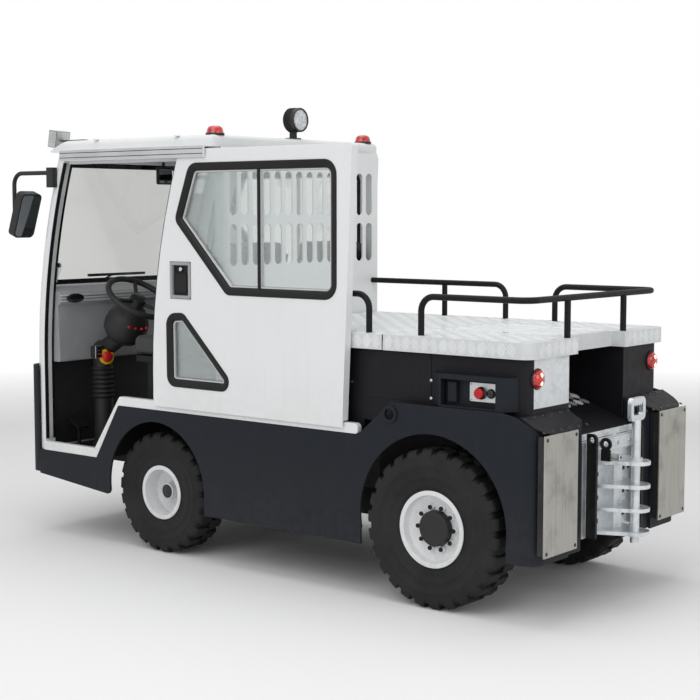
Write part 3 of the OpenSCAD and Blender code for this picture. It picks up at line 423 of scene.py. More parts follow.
def boxPart(low, high, ease=0.0, segments=2):
    part = bmesh.new()
    ops.create_cube(part, size=1.0)
    size = [b - a for a, b in zip(low, high)]
    ops.scale(part, vec=size, verts=part.verts)
    ops.translate(part, vec=[(a + b) / 2 for a, b in zip(low, high)], verts=part.verts)
    if ease:
        bevelEdges(part, part.edges[:], ease, segments)
    return part


def platePart(outline, low, high, ease=0.0):
    # a flat outline in XY, pulled up from low to high
    part = bmesh.new()
    face = part.faces.new([part.verts.new((x, y, low)) for x, y in outline])
    pulled = ops.extrude_face_region(part, geom=[face])
    top = [v for v in pulled["geom"] if isinstance(v, bmesh.types.BMVert)]
    ops.translate(part, vec=(0, 0, high - low), verts=top)
    ops.recalc_face_normals(part, faces=part.faces)
    if ease:
        rims = [e for e in sharpEdges(part, 0.9) if abs(e.verts[0].co.z - e.verts[1].co.z) < 1e-6]
        bevelEdges(part, rims, ease)
    return part


def roundedOutline(corners, steps=6):
    # (x, y, radius) corners turned into an outline
    points = []
    for i, (x, y, r) in enumerate(corners):
        here = Vector((x, y))
        back = Vector(corners[i - 1][:2]) - here
        ahead = Vector(corners[(i + 1) % len(corners)][:2]) - here
        back.normalize()
        ahead.normalize()
        half = acos(max(-1.0, min(1.0, back.dot(ahead)))) / 2
        middle = here + (back + ahead).normalized() * (r / sin(half))
        start = here + back * (r / tan(half)) - middle
        end = here + ahead * (r / tan(half)) - middle
        turn = atan2(start.x * end.y - start.y * end.x, start.dot(end))
        for k in range(steps + 1):
            a = turn * k / steps
            points.append((middle.x + start.x * cos(a) - start.y * sin(a),
                           middle.y + start.x * sin(a) + start.y * cos(a)))
    return points


def sidePart(outline, near, far, ease=0.0):
    # a side view outline of (x, z) pulled along Y from near to far
    part = platePart(outline, -far, -near, ease)
    turn = Matrix.Rotation(pi / 2, 3, "X")
    ops.rotate(part, cent=(0, 0, 0), matrix=turn, verts=part.verts)
    return part


def crossPart(outline, near, far):
    # an end view outline of (y, z) pulled along X from near to far
    part = platePart(outline, near, far)
    turn = Matrix(((0, 0, 1), (1, 0, 0), (0, 1, 0)))
    ops.transform(part, matrix=turn.to_4x4(), verts=part.verts)
    return part


def insetCorners(corners, inset, leastRound=3.0):
    # moves each side of an anticlockwise (x, y, radius) outline inwards
    lines = []
    for a, b in zip(corners, corners[1:] + corners[:1]):
        along = Vector((b[0] - a[0], b[1] - a[1])).normalized()
        normal = Vector((-along.y, along.x))
        lines.append((Vector(a[:2]) + normal * inset, along))
    moved = []
    for i, corner in enumerate(corners):
        (p, u), (q, v) = lines[i - 1], lines[i]
        t = ((q.x - p.x) * v.y - (q.y - p.y) * v.x) / (u.x * v.y - u.y * v.x)
        place = p + u * t
        moved.append((place.x, place.y, max(leastRound, corner[2] - inset)))
    return moved


def framePart(corners, section, steps=7):
    # a closed rubber or metal section of (inset, depth along Y) led round a side view outline
    part = bmesh.new()
    rings = []
    for inset, depth in section:
        points = roundedOutline(insetCorners(corners, inset), steps)
        verts = [part.verts.new((x, depth, z)) for x, z in points]
        rings.append([part.edges.new(pair) for pair in zip(verts, verts[1:] + verts[:1])])
    for a, b in zip(rings, rings[1:] + rings[:1]):
        ops.bridge_loops(part, edges=a + b)
    ops.recalc_face_normals(part, faces=part.faces)
    return part


def merged(*parts):
    shape = bmesh.new()
    for part in parts:
        stamp(shape, part, [Matrix.Identity(4)])
    return shape


def otherSide(shape):
    ops.scale(shape, vec=(1, -1, 1), verts=shape.verts)
    ops.reverse_faces(shape, faces=shape.faces)
    return shape


def placed(part, matrix):
    ops.transform(part, matrix=matrix, verts=part.verts)
    return part


def turnedAt(profile, steps, seat):
    return placed(turnedPart(profile, steps), seat)


def squareCorners(low, high, r):
    # the (x, y, radius) corners of a rectangle
    return [(low[0], low[1], r), (high[0], low[1], r), (high[0], high[1], r), (low[0], high[1], r)]


# the record's slot for each finish that is only used here
nearSlot = {"bright_screw": "zinc_plate", "galvanised": "zinc_plate", "alu_panel": "zinc_plate",
            "chrome": "zinc_plate", "mirror_glass_painted_shade": "zinc_plate", "hood_black": "paint_charcoal",
            "seal_rubber": "buffer_rubber", "black_gloss": "black_plastic", "light_grey_plastic": "dash_grey",
            "red_plastic": "lamp_red", "yellow_plastic": "black_plastic", "led_white": "lamp_clear",
            "tread_bar_painted_highlight": "checker_plate"}


def addPiece(name, finish, *parts, body="chassis", nodes=(), angle=40, slot=None):
    putDown(merged(*parts), name, body, finish, slot or nearSlot.get(finish, finish), nodes, angle)


# parts drawn on the left, with their mirror image on the right
def addPair(name, finish, *parts, **options):
    shape = merged(*parts)
    addPiece(name, finish, shape, otherSide(shape.copy()), **options)


screwForm = [(0, 0.42), (0.5, 0.38), (0.86, 0.24), (1, 0.02), (1, -0.15)]


def screwHeads(spots, along, r):
    # round heads of radius r at the spots, standing up along one direction
    head = turnedPart([(x * r, z * r) for x, z in screwForm], 14)
    return repeated(head, [facing(spot, along) for spot in spots])


# tyres: ringed sidewalls and a row of shoulder lugs on each side, half a lug apart
tyres = {"rear": {"d": 676, "w": 190, "bead": 149, "lugs": 26, "x": 0, "y": 512, "z": 338},
         "front": {"d": 588, "w": 176, "bead": 118, "lugs": 22, "x": 1640, "y": 485, "z": 294}}
tyreWall = [(0.0, 0.62), (0.004, 0.75), (0.035, 0.79), (0.1, 0.81), (0.13, 0.8), (0.155, 0.825),
            (0.21, 0.845), (0.235, 0.835), (0.38, 0.885), (0.4, 0.91), (0.435, 0.913), (0.455, 0.9),
            (0.65, 0.965), (0.67, 0.985), (0.705, 0.987), (0.73, 0.972), (0.82, 0.985), (0.9, 0.965),
            (0.955, 0.9), (0.985, 0.82), (1.0, 0.62)]
lugForm = {"deep": 15, "top": 0.56, "base": 0.66, "bevel": 2.4, "notchAt": 0.52, "notch": 2.5}


def lugPart(wheel):
    r, half = wheel["d"] / 2, wheel["w"] / 2
    pitch = pi / wheel["lugs"]
    top = r * cos(lugForm["top"] * pitch)
    root = r - lugForm["deep"]
    wide = r * sin(lugForm["top"] * pitch)
    foot = root * sin(lugForm["base"] * pitch)
    outline = [(root - 9, 1), (top, 1), (top, half - 18), (top - 14, half - 5), (top - 40, half - 1),
               (top - 47, half - 5), (root - 34, half - 20)]
    part = platePart(outline, -wide, wide)
    for vert in part.verts:
        if vert.co.x < root + 1:
            vert.co.z *= foot / wide
    bevelEdges(part, sharpEdges(part, 0.25), lugForm["bevel"], 1)
    notch = ops.bisect_plane(part, geom=part.verts[:] + part.edges[:] + part.faces[:],
                             plane_co=(0, half * lugForm["notchAt"], 0), plane_no=(0, 1, 0))
    for vert in {v for v in notch["geom_cut"] if isinstance(v, bmesh.types.BMVert)}:
        if vert.co.x > root + 2:
            vert.co.x -= lugForm["notch"]
    return part


def tyrePiece(axle, side):
    wheel = tyres[axle]
    hand = sides[side]
    root = wheel["d"] / 2 - lugForm["deep"] - 0.5
    outer = [(wheel["bead"] + u * (root - wheel["bead"]), v * wheel["w"] / 2) for u, v in tyreWall]
    profile = outer + [(root, 0)] + [(r, -h) for r, h in reversed(outer)]
    shape = bmesh.new()
    middle = Vector((wheel["x"], hand * wheel["y"], wheel["z"]))
    stamp(shape, turnedPart(profile + profile[:1], 96), [facing(middle, (0, hand, 0))])
    places = []
    for row, shift in ((hand, 0.0), (-hand, 0.5)):
        for i in range(wheel["lugs"]):
            a = pi / 2 + (lugForm["top"] + 2 * (i + shift)) * pi / wheel["lugs"]
            out, across = Vector((cos(a), 0, -sin(a))), Vector((0, row, 0))
            frameOfLug = Matrix((out, across, out.cross(across))).transposed().to_4x4()
            places.append(Matrix.Translation(middle) @ frameOfLug)
    stamp(shape, lugPart(wheel), places)
    node = f"tyre_{axle}_{side}"
    putDown(shape, node + "_lugged", bodyOf[node], "tyre_rubber", "tyre_rubber", (node,), 35, False)


for axle in tyres:
    for side in sides:
        tyrePiece(axle, side)
        easedCopy(f"rim_{axle}_{side}", 0.0)
print("tyres and rims")

# hub caps, the rear wheels' stud ends and nuts, and the front wheels' rings; the stud ends are black caps,
# painted shade standing for the studs' open holes
hubs = {"rearCap": [(0, 66.6), (50, 66.6), (53, 68.6), (62, 68.6), (65, 67.2), (72, 67), (75.2, 63),
                    (75.4, 36), (73, 35)],
        "studEnd": [(0, 54.2), (6.4, 54.2), (6.8, 55.4), (9.3, 55.4), (9.7, 53.5), (9.7, 50), (9.0, 49)],
        "nut": [(8.8, 33), (15.5, 33.5), (15.5, 42), (13, 44.5), (8.8, 44.5)],
        "frontCap": [(0, 38), (16, 37.6), (26, 35.6), (30, 34.4), (34, 35.4)],
        "frontRing": [(33.6, 34.2), (34, 37), (37, 38.4), (41, 37), (42.8, 33), (42.8, 8), (41, 7)],
        "studs": 10, "circle": 91}


def hubSeat(axle, hand):
    wheel = tyres[axle]
    return facing((wheel["x"], hand * wheel["y"], wheel["z"]), (0, hand, 0))


for side, hand in sides.items():
    rear, front = hubSeat("rear", hand), hubSeat("front", hand)
    rearBody, frontBody = f"wheel_rear_{side}", f"wheel_front_{side}"
    addPiece(f"hub_cap_rear_{side}", "black_plastic", turnedAt(hubs["rearCap"], 56, rear), body=rearBody)
    turns = [2 * pi * i / hubs["studs"] for i in range(hubs["studs"])]
    studs = [rear @ Matrix.Translation((hubs["circle"] * cos(a), hubs["circle"] * sin(a), 0))
             for a in turns]
    # black caps on the stud ends, painted shade for their open holes
    ends = repeated(turnedPart(hubs["studEnd"], 14), studs)
    addPiece(f"stud_end_hole_shade_{side}", "seal_rubber", ends, body=rearBody, slot="black_plastic")
    nuts = repeated(turnedPart(hubs["nut"], 6), studs)
    addPiece(f"stud_nuts_{side}", "rim_paint", nuts, body=rearBody, angle=25)
    addPiece(f"hub_cap_front_{side}", "black_gloss", turnedAt(hubs["frontCap"], 40, front), body=frontBody)
    addPiece(f"hub_ring_front_{side}", "chrome", turnedAt(hubs["frontRing"], 40, front), body=frontBody)
print("wheel fittings")

# the nose leans back as it rises, and strips along it follow that curve
nose = {"x": 2549, "foot": 882, "lean": 170}


def noseX(z):
    return nose["x"] - nose["lean"] * (max(0.0, z - nose["foot"]) / 1000) ** 2


def noseStrip(low, high, start, end, near, far, steps):
    # the strip between two offsets from the nose, pulled along Y from near to far
    rise = [low + (high - low) * k / steps for k in range(steps + 1)]
    outline = [(noseX(z) + start, z) for z in rise] + [(noseX(z) + end, z) for z in reversed(rise)]
    return sidePart(outline, near, far)


# windscreen as one smooth bent pane
screenEdge = 527.7
screen = {"low": 1275.3, "high": 1904.7, "start": -20, "end": -26, "near": -screenEdge, "far": screenEdge,
          "steps": 26}
addPiece("windscreen_pane", "screen_glass", noseStrip(**screen), nodes=("windshield",), angle=30,
         slot="clear_glass")

# doors: window seals with an inner frame, a window bar and a flush handle, drawn on the closed left door
doorTravel = 828
windows = {"upper": [(1316, 1281, 62), (1956, 1281, 40), (2282, 1616, 40), (2186, 1872, 55),
                     (1316, 1872, 62)],
           "lower": [(1898, 836, 40), (2344, 836, 46), (2346, 1170, 52), (2242, 1176, 46)]}
sealSection = [(-7, 625.4), (-6, 628), (-1, 629.4), (12, 629), (24, 625), (30, 617), (30, 606.4), (30, 600),
               (24, 586.5), (4, 586.5), (0.4, 590), (0.4, 624)]
innerSection = [(28, 608), (29, 614), (31, 616), (37, 615), (38.5, 607)]
bezelSection = [(0, 620), (0.5, 628), (3, 629.6), (14, 629.4), (15.5, 627), (16, 613)]
lockForm = [(0, 0), (5, 0), (5.5, -2), (9, -2), (10.5, -4), (11, -10)]


def onDoor(shape, side):
    # the left door rests open, the right one is the closed left one mirrored
    if side == "right":
        return otherSide(shape)
    return placed(shape, Matrix.Translation((-doorTravel, 0, 0)))


def windowFrames(section):
    return [framePart(corners, section) for corners in windows.values()]


for side in sides:
    rubber = merged(*windowFrames(sealSection), boxPart((1757, 606.5, 1306), (1773, 621, 1847), 2.5))
    metal = merged(*windowFrames(innerSection),
                   *(boxPart((x, 606.5, 1308), (x + 4, 616, 1845), 1) for x in (1753.5, 1772.5)))
    bezel = framePart(squareCorners((2188, 1248), (2324, 1420), 16), bezelSection)
    well = roundedOutline(squareCorners((2203, 1262), (2309, 1406), 10))
    paddle = roundedOutline(squareCorners((2216, 1276), (2296, 1366), 8))
    back = merged(sidePart(well, 611.5, 615), sidePart(paddle, 616, 625, 3))
    lock = turnedAt(lockForm, 24, facing((2256, 627.5, 1386), outwards))
    doorPieces = {"window_seals": (rubber, "seal_rubber", "black_plastic"),
                  "window_frames": (metal, "alu_panel", "zinc_plate"),
                  "handle_bezel": (bezel, "dash_grey", "black_plastic"),
                  "handle_paddle": (back, "seal_rubber", "black_plastic"),
                  "handle_lock": (lock, "chrome", "zinc_plate")}
    for name, (shape, finish, slot) in doorPieces.items():
        nodes = (f"door_{side}_trim",) if name == "window_seals" else ()
        addPiece(f"{name}_{side}", finish, onDoor(shape, side), body=f"door_{side}", nodes=nodes, slot=slot)
print("doors")

# raised five-bar tread on the decks, laid out as arrays of a small tile, in a lighter copy of the deck's
# colour as a painted highlight
tread = {"cell": 50.0, "long": 46.0, "wide": 3.6, "high": 1.9, "gap": 8.8, "bars": 5, "shrink": 0.12,
         "slope": 0.32, "deck": 1136.9, "rimY": 574.9, "rimZ": 1074, "rimHigh": 60}


def treadTile(rows):
    # two cells by one or two rows, with the bars turned the other way in each next cell
    bar = bmesh.new()
    end, third, side = tread["long"] / 2, tread["long"] / 3, tread["wide"] / 2
    outline = ((-end, 0), (-third, -side), (third, -side), (end, 0), (third, side), (-third, side))
    base = bar.faces.new([bar.verts.new((x, y, 0)) for x, y in outline])
    ops.inset_individual(bar, faces=[base], thickness=tread["wide"] * tread["slope"], depth=0.0)
    ops.translate(bar, vec=(0, 0, tread["high"]), verts=base.verts)
    places = []
    for i in range(2):
        for j in range(rows):
            turn = Matrix.Rotation(radians(45 if (i + j) % 2 else -45), 4, "Z")
            middle = Matrix.Translation(((i + 0.5) * tread["cell"], (j + 0.5) * tread["cell"], 0))
            for k in range(tread["bars"]):
                step = k - tread["bars"] // 2
                shift = Matrix.Translation((0, step * tread["gap"], 0))
                places.append(middle @ turn @ shift @ Matrix.Scale(1 - tread["shrink"] * abs(step), 4))
    return repeated(bar, places)


def treadField(name, origin, across, up, size):
    # covers a rectangle of size (a, b) mm that starts at origin and runs along two axes
    cells = (2, 2 if size[1] > 1.5 * tread["cell"] else 1)
    counts = [max(1, round(s / (n * tread["cell"]))) for s, n in zip(size, cells)]
    pitch = [s / n for s, n in zip(size, counts)]
    tile = treadTile(cells[1])
    fill = [p / n / tread["cell"] for p, n in zip(pitch, cells)]
    ops.scale(tile, vec=(*fill, 1), verts=tile.verts)
    a, b = Vector(across), Vector(up)
    lay = Matrix((a, b, a.cross(b))).transposed().to_4x4()
    ops.transform(tile, matrix=Matrix.Translation(origin) @ lay, verts=tile.verts)
    # the bars take the lighter copy of the deck colour, a painted highlight
    piece = putDown(tile, name, "chassis", "tread_bar_painted_highlight", "checker_plate", (), 20, False)
    for i, direction in ((0, a), (1, b)):
        if counts[i] > 1:
            row = piece.modifiers.new(f"rows {i}", "ARRAY")
            row.count = counts[i]
            row.use_relative_offset = False
            row.use_constant_offset = True
            row.constant_offset_displace = direction * (pitch[i] / 1000)


treadTops = {"front": (282, -570, 902, 1140), "rear_left": (-396, 200, 662, 368),
             "rear_right": (-396, -568, 662, 368), "rear_middle": (186, -196, 80, 392)}
for name, (x, y, long, wide) in treadTops.items():
    treadField(f"tread_{name}", (x, y, tread["deck"]), forwards, outwards, (long, wide))
treadField("tread_ramp", (-292, -214, 810.2), (0.9329, 0, 0.36), outwards, (216, 428))
treadRims = {"front": (282, 1184), "rear": (-396, 266)}
for side, hand in sides.items():
    for name, (low, high) in treadRims.items():
        start = (high if hand > 0 else low, hand * tread["rimY"], tread["rimZ"])
        treadField(f"tread_rim_{name}_{side}", start, (-hand, 0, 0), upwards, (high - low, tread["rimHigh"]))
    start = (-459.9, 510 if hand > 0 else -206, tread["rimZ"])
    treadField(f"tread_rim_back_{side}", start, (0, -1, 0), upwards, (304, tread["rimHigh"]))
print("deck tread")

# front posts: outer seal, grey frame and inner line on their rear faces
post = {"low": 486, "high": 1896, "start": -94.5, "steps": 24}
postStrips = {"post_seals": ("seal_rubber", 576, 596, -99),
              "post_frames": ("light_grey_plastic", 551, 575, -97.5),
              "post_lines": ("black_gloss", 536, 550, -98)}
for name, (finish, near, far, end) in postStrips.items():
    addPair(name, finish, noseStrip(near=near, far=far, end=end, **post))


# the black border on the inside of the windscreen
def screenStrip(low, high, near, far):
    return noseStrip(low, high, screen["end"] - 0.2, screen["end"] - 2.2, near, far, 12)


borderEdge = screenEdge - 26
addPiece("windscreen_border", "black_gloss", screenStrip(1276, 1302, -screenEdge, screenEdge),
         screenStrip(1878, 1904, -screenEdge, screenEdge), screenStrip(1302, 1878, borderEdge, screenEdge),
         screenStrip(1302, 1878, -screenEdge, -borderEdge))

# dashboard: ribbed band, oval vents and dark foot-well lining
addPiece("dash_ribs", "light_grey_plastic",
         *(boxPart((2390.5, -531, z), (2398, 531, z + 8), 2) for z in (1190, 1205, 1220)))
addPiece("foot_lining", "black_plastic", boxPart((2500, -532, 440), (2506, 532, 878), 1))
addPair("foot_lining_sides", "black_plastic", boxPart((2459, 531, 440), (2499, 533.4, 878), 0.5))
vent = turnedPart([(0, 1), (36, 1.5), (46, 5), (54, 6), (58, 3), (58, -4)], 40)
ops.scale(vent, vec=(0.42, 1, 1), verts=vent.verts)
addPair("dash_vents", "black_gloss", placed(vent, facing((2390, 440, 1208), backwards)))

# steering column: stop button on its yellow plate, and the switch panel
stopSeat = facing((2262, 340, 903), (-0.917, 0.386, 0.097))
stopPlate = [(21, -12), (38, -12), (40, -10), (40, -8), (38, -6), (21, -6)]
stopButton = [(20.5, -5), (25, -3), (28, 3), (28, 9), (24, 14), (12, 17), (0, 18)]
addPiece("stop_plate", "yellow_plastic", turnedAt(stopPlate, 36, stopSeat))
addPiece("stop_button", "red_plastic", turnedAt(stopButton, 36, stopSeat))
addPiece("switch_panel", "alu_panel", boxPart((2278, 358, 896), (2284, 404, 964), 2))
addPiece("switch_case", "black_plastic", boxPart((2284, 340, 900), (2326, 400, 960), 6))
addPiece("switch_keys", "black_gloss",
         *(boxPart((2275, 364, z), (2279, 398, z + 14), 1.5) for z in (902, 922, 942)))

# steering pod with lit buttons, and the cap in the wheel's middle
wheelSeat = Matrix.Translation((2060, 300, 1215)) @ Matrix.Rotation(radians(-34), 4, "Y")
pod = {"form": [(0, -264), (46, -263), (86, -246), (108, -216), (114, -182), (110, -140), (96, -104),
                (70, -76), (40, -64.5), (17, -63.5)],
       "button": [(0, 3), (6, 2.6), (8, 0), (8, -3)], "turns": (140, 160, 180, 200, 220), "r": 104.5,
       "low": -122, "tilt": 0.42, "cap": [(0, 9), (26, 8), (38, 5), (42, 1.5), (42, 0)]}
addPiece("steering_pod", "black_plastic", turnedAt(pod["form"], 48, wheelSeat), angle=60)
buttonSeats = []
for turn in pod["turns"]:
    a = radians(turn)
    away = wheelSeat.to_3x3() @ Vector((cos(a), sin(a), pod["tilt"]))
    place = wheelSeat @ Vector((pod["r"] * cos(a), pod["r"] * sin(a), pod["low"]))
    buttonSeats.append(facing(place, away))
addPiece("pod_buttons", "lamp_red", repeated(turnedPart(pod["button"], 16), buttonSeats))
addPiece("wheel_cap", "black_gloss", turnedAt(pod["cap"], 36, wheelSeat), body=bodyOf["steering_wheel"])
print("cab fittings")

# control box on the left: bright panel, stop button, black button, socket and bolts
control = {"low": (-306, 888), "high": (-170, 965), "stop": (-227, 567, 924), "button": (-274, 567, 924),
           "collar": [(0, 0), (25, 0), (26, 2), (26, 5), (22, 8), (19, 12), (0, 12)],
           "black": [(0, 13), (13, 12.5), (16, 10), (19, 6), (20, 0), (0, 0)],
           "red": [(0, 29.5), (12, 29), (20, 26.5), (22.5, 22), (21.5, 17), (18, 11), (0, 11)]}
stopAt, buttonAt = facing(control["stop"], outwards), facing(control["button"], outwards)
panelOutline = roundedOutline(squareCorners(control["low"], control["high"], 6))
addPiece("control_panel", "alu_panel", sidePart(panelOutline, 565.1, 567, 0.5))
addPiece("control_screws", "bright_screw",
         screwHeads([(x, 567, z) for x in (-298, -178) for z in (896, 957)], outwards, 4.5),
         screwHeads([(2, 598, z) for z in (888, 962)], outwards, 7))
addPiece("control_collar", "black_gloss", turnedAt(control["collar"], 32, stopAt),
         turnedAt(control["black"], 32, buttonAt))
addPiece("control_stop", "red_plastic", turnedAt(control["red"], 32, stopAt))
addPiece("control_socket", "black_gloss", boxPart((-112, 566, 878), (-68, 574, 962), 4),
         boxPart((-104, 573, 886), (-76, 578, 930), 3))
addPiece("control_end", "galvanised", boxPart((-313, 566, 868), (-309, 590, 972), 1))

# tail lamps: red domes with two bright dots in a dark ring
tail = {"x": -434, "y": 481, "z": 988, "dotOut": 23.5, "dotUp": 15,
        "dome": [(0, 26), (16, 25), (28, 20.5), (36, 12), (38.5, 4), (38.5, 0.3), (0, 0.3)],
        "ring": [(37, 0.3), (43, 0.3), (43, 5), (41, 7), (37, 6)],
        "dot": [(0, 3.4), (7, 2.6), (11, -1), (11, -5)]}
tailSeat = facing((tail["x"], tail["y"], tail["z"]), backwards)
addPair("tail_domes", "lamp_red", turnedAt(tail["dome"], 40, tailSeat), nodes=("tail_lamps",), angle=60)
addPair("tail_rings", "black_plastic", turnedAt(tail["ring"], 40, tailSeat))
dotSeats = [facing((tail["x"] - tail["dotOut"], tail["y"], tail["z"] + up), backwards)
            for up in (tail["dotUp"], -tail["dotUp"])]
addPair("tail_dots", "led_white", repeated(turnedPart(tail["dot"], 20), dotSeats))

# rear end: galvanised upright, screws of the push plates and the sloping covers
addPiece("upright_face", "galvanised", boxPart((-435.8, 234, 868), (-434.2, 504, 1066), 0.5))
addPair("push_screws", "black_gloss",
        screwHeads([(-553, y, z) for y in (368, 588) for z in (312, 764)], backwards, 8))
slope = {"x": -434, "z": 847, "rise": 0.558, "normal": (-0.487, 0, 0.873)}
coverRow = [(x, y, slope["z"] + (x - slope["x"]) * slope["rise"])
            for x in (-446, -534) for y in range(256, 600, 66)]
addPair("cover_screws", "black_gloss", screwHeads(coverRow, slope["normal"], 7.5))

# coupling: black side flanges on the plated copy, top plate, rows of black patches as painted shade where the
# holes are, and a spring latch
coupling = {"flangeY": 0.1885, "face": -506.1, "behind": -506.5, "levels": (362, 461, 560), "hole": 9,
            "round": [(0, 1.1), (10, 1.1), (10, 0)], "rod": [(0, 60), (5, 60), (6, 58), (6, 0), (0, 0)]}
plated = bpy.data.objects["tow_coupling_eased"].data
plated.materials.append(finishes["frame_black"])
flangeX = coupling["behind"] + rearAxle * 1000
for face in plated.polygons:
    onFlange = abs(face.center.y) > coupling["flangeY"] and face.center.x * 1000 < flangeX
    face.material_index = 1 if onFlange else 0
plateFace, hole = coupling["face"], coupling["hole"]
addPiece("coupling_plate", "galvanised", boxPart((-512, -184, 648), (plateFace, 184, 704), 4, 1))
# the holes are not cut; thin black patches on the plate's face stand in for them as painted shade
squareHoleShade = [boxPart((-507.2, y - hole, z - hole), (plateFace, y + hole, z + hole))
               for y in (-112, 112) for z in coupling["levels"]]
roundHoleShade = [turnedAt(coupling["round"], 20, facing((plateFace, y, z), backwards))
              for y in (-154, 154) for z in coupling["levels"]]
addPiece("coupling_hole_shade", "black_gloss", *squareHoleShade, *roundHoleShade)
addPiece("coupling_bolts", "bright_screw",
         screwHeads([(-512, y, 676) for y in (-150, -50, 50, 150)], backwards, 9))
spring = {"r": 11, "wire": 2.2, "pitch": 5.2, "rings": 8, "start": -574}
coil = [(spring["r"] + spring["wire"] * cos(k * pi / 3), spring["wire"] * sin(k * pi / 3))
        for k in range(7)]
ringSeats = [facing((spring["start"] + spring["pitch"] * k, 62, 634), forwards)
             for k in range(spring["rings"])]
addPiece("latch_spring", "bright_screw", repeated(turnedPart(coil, 20), ringSeats))
addPiece("latch_block", "zinc_plate", boxPart((-588, 50, 618.3), (-577, 74, 648), 3),
         boxPart((-534, 50, 618.3), (-526, 74, 648), 3),
         turnedAt(coupling["rod"], 16, facing((-588, 62, 634), forwards)))

# hood: side panels, catch, bolts and the latch by the door
hoodPanel = [(384, 862), (384, 1004), (312, 1064), (38, 1064), (38, 862)]
addPair("hood_panels", "hood_black", sidePart(hoodPanel, 545.2, 547.6, 0.8))
addPiece("hood_catch", "bright_screw", boxPart((452, 545.3, 915), (492, 553, 926), 3),
         screwHeads([(582, 545.2, z) for z in (842, 890)], outwards, 9))
addPiece("hood_latch", "galvanised", boxPart((604, 545.3, 846), (640, 574, 852), 2),
         boxPart((604, 545.3, 880), (640, 574, 886), 2), boxPart((604, 545.3, 852), (609, 574, 880), 1))
print("rear fittings")

# roof: guide bands with black lines as painted shade in their grooves, bolts, beacons, work lamp and front
# lamps
addPair("guide_bands", "light_grey_plastic", boxPart((1258, 640.1, 1907), (2256, 641.8, 1956), 0.8))
# two black lines on each band, painted shade where its grooves are
addPair("guide_groove_shade", "seal_rubber", boxPart((1260, 641.6, 1918), (2254, 642.3, 1921)),
        boxPart((1260, 641.6, 1941), (2254, 642.3, 1944)))
addPair("roof_bolts", "paint_white", screwHeads([(x, 606, 2006.5) for x in (1460, 2020)], upwards, 15))
beacon = {"dome": [(0, 42), (18, 41), (29, 37), (35, 29), (39, 16), (40.5, 7), (0, 7)],
          "foot": [(0, 0.2), (44, 0.2), (44, 6), (42, 8), (0, 8)]}
beaconSeat = facing((1270, 548, 2007))
addPair("beacon_domes", "lamp_red", turnedAt(beacon["dome"], 40, beaconSeat), nodes=("beacons",),
        angle=60)
addPair("beacon_feet", "black_plastic", turnedAt(beacon["foot"], 40, beaconSeat))
spotLamp = {"fins": (-14, -4, 6, 16), "rim": [(50, 44), (50, 50), (57, 50), (59, 47), (59, 34), (55, 33)],
            "lens": [(0, 49), (30, 48.2), (50.5, 46.3)]}
spotSeat = facing((1270, 0, 2099), backwards)
addPiece("spot_fins", "black_plastic",
         *(turnedAt([(55, h), (60, h + 1), (60, h + 4), (55, h + 5)], 40, spotSeat)
           for h in spotLamp["fins"]))
addPiece("spot_rim", "black_gloss", turnedAt(spotLamp["rim"], 44, spotSeat))
addPiece("spot_lens", "lamp_clear", turnedAt(spotLamp["lens"], 40, spotSeat), angle=60)
flood = {"deep": 58, "tilt": radians(10), "y": 501, "z": 1973}
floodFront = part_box("work_lamps")[1][0] * 1000 - rearAxle * 1000
floodPlace = (floodFront - flood["deep"] * cos(flood["tilt"]), flood["y"], flood["z"])
floodSeat = Matrix.Translation(floodPlace) @ Matrix.Rotation(-flood["tilt"], 4, "Y")
addPair("front_lamp_boxes", "alu_panel",
        placed(boxPart((-0.7, -0.7, -0.7), (58.4, 88.7, 84.7), 4), floodSeat))
addPair("front_lamp_lenses", "lamp_clear", placed(boxPart((56, 8, 8), (60, 80, 76), 3), floodSeat))

# mirrors and headlamps
mirrorSeat = Matrix.Translation((2570, 610, 1640)) @ Matrix.Rotation(radians(-20), 4, "Y")
mirrorPane = roundedOutline(squareCorners((-57, -110), (57, 110), 20))
addPair("mirror_panes", "mirror_glass_painted_shade", placed(crossPart(mirrorPane, -24.6, -23.1), mirrorSeat))
addPiece("cab_mirror", "black_plastic", boxPart((2282, -168, 1800), (2304, -60, 1892), 9, 4),
         boxPart((2290, -120, 1880), (2304, -108, 1920), 3))
addPiece("cab_mirror_pane", "mirror_glass_painted_shade", boxPart((2281, -160, 1808), (2282.5, -68, 1884), 0.4))
headlamp = {"lens": [(0, 8), (30, 6), (50, 2.5), (61, 0.2)],
            "rim": [(61.5, -9), (61.5, 1), (66, 2.5), (72, 0), (75, -8), (75, -20)]}
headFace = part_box("headlamps")[1][0] * 1000 - rearAxle * 1000
headSeat = facing((headFace, 430, 690), forwards)
addPair("headlamp_lenses", "lamp_clear", turnedAt(headlamp["lens"], 44, headSeat), angle=60)
addPair("headlamp_rims", "chrome", turnedAt(headlamp["rim"], 44, headSeat))
print("roof and front fittings")

# seats: cushions drawn a little small, then blown up as cloth that is held at its base and seams
seat = {"long": 460, "high": 520, "wide": 450, "thick": 105, "inset": 6, "round": 30, "even": 8.0, "lean": 10,
        "cushion": (1420, 300, 948.3), "back": (1412, 300, 1006.3), "frames": 20, "pressure": 4.0,
        "most": 0.024, "base": 0.3, "ring": 0.6, "top": 0.7, "bolster": 0.135, "seam": 0.0045, "quality": 5}


def appliedMesh(piece):
    return bpy.data.meshes.new_from_object(piece.evaluated_get(bpy.context.evaluated_depsgraph_get()))


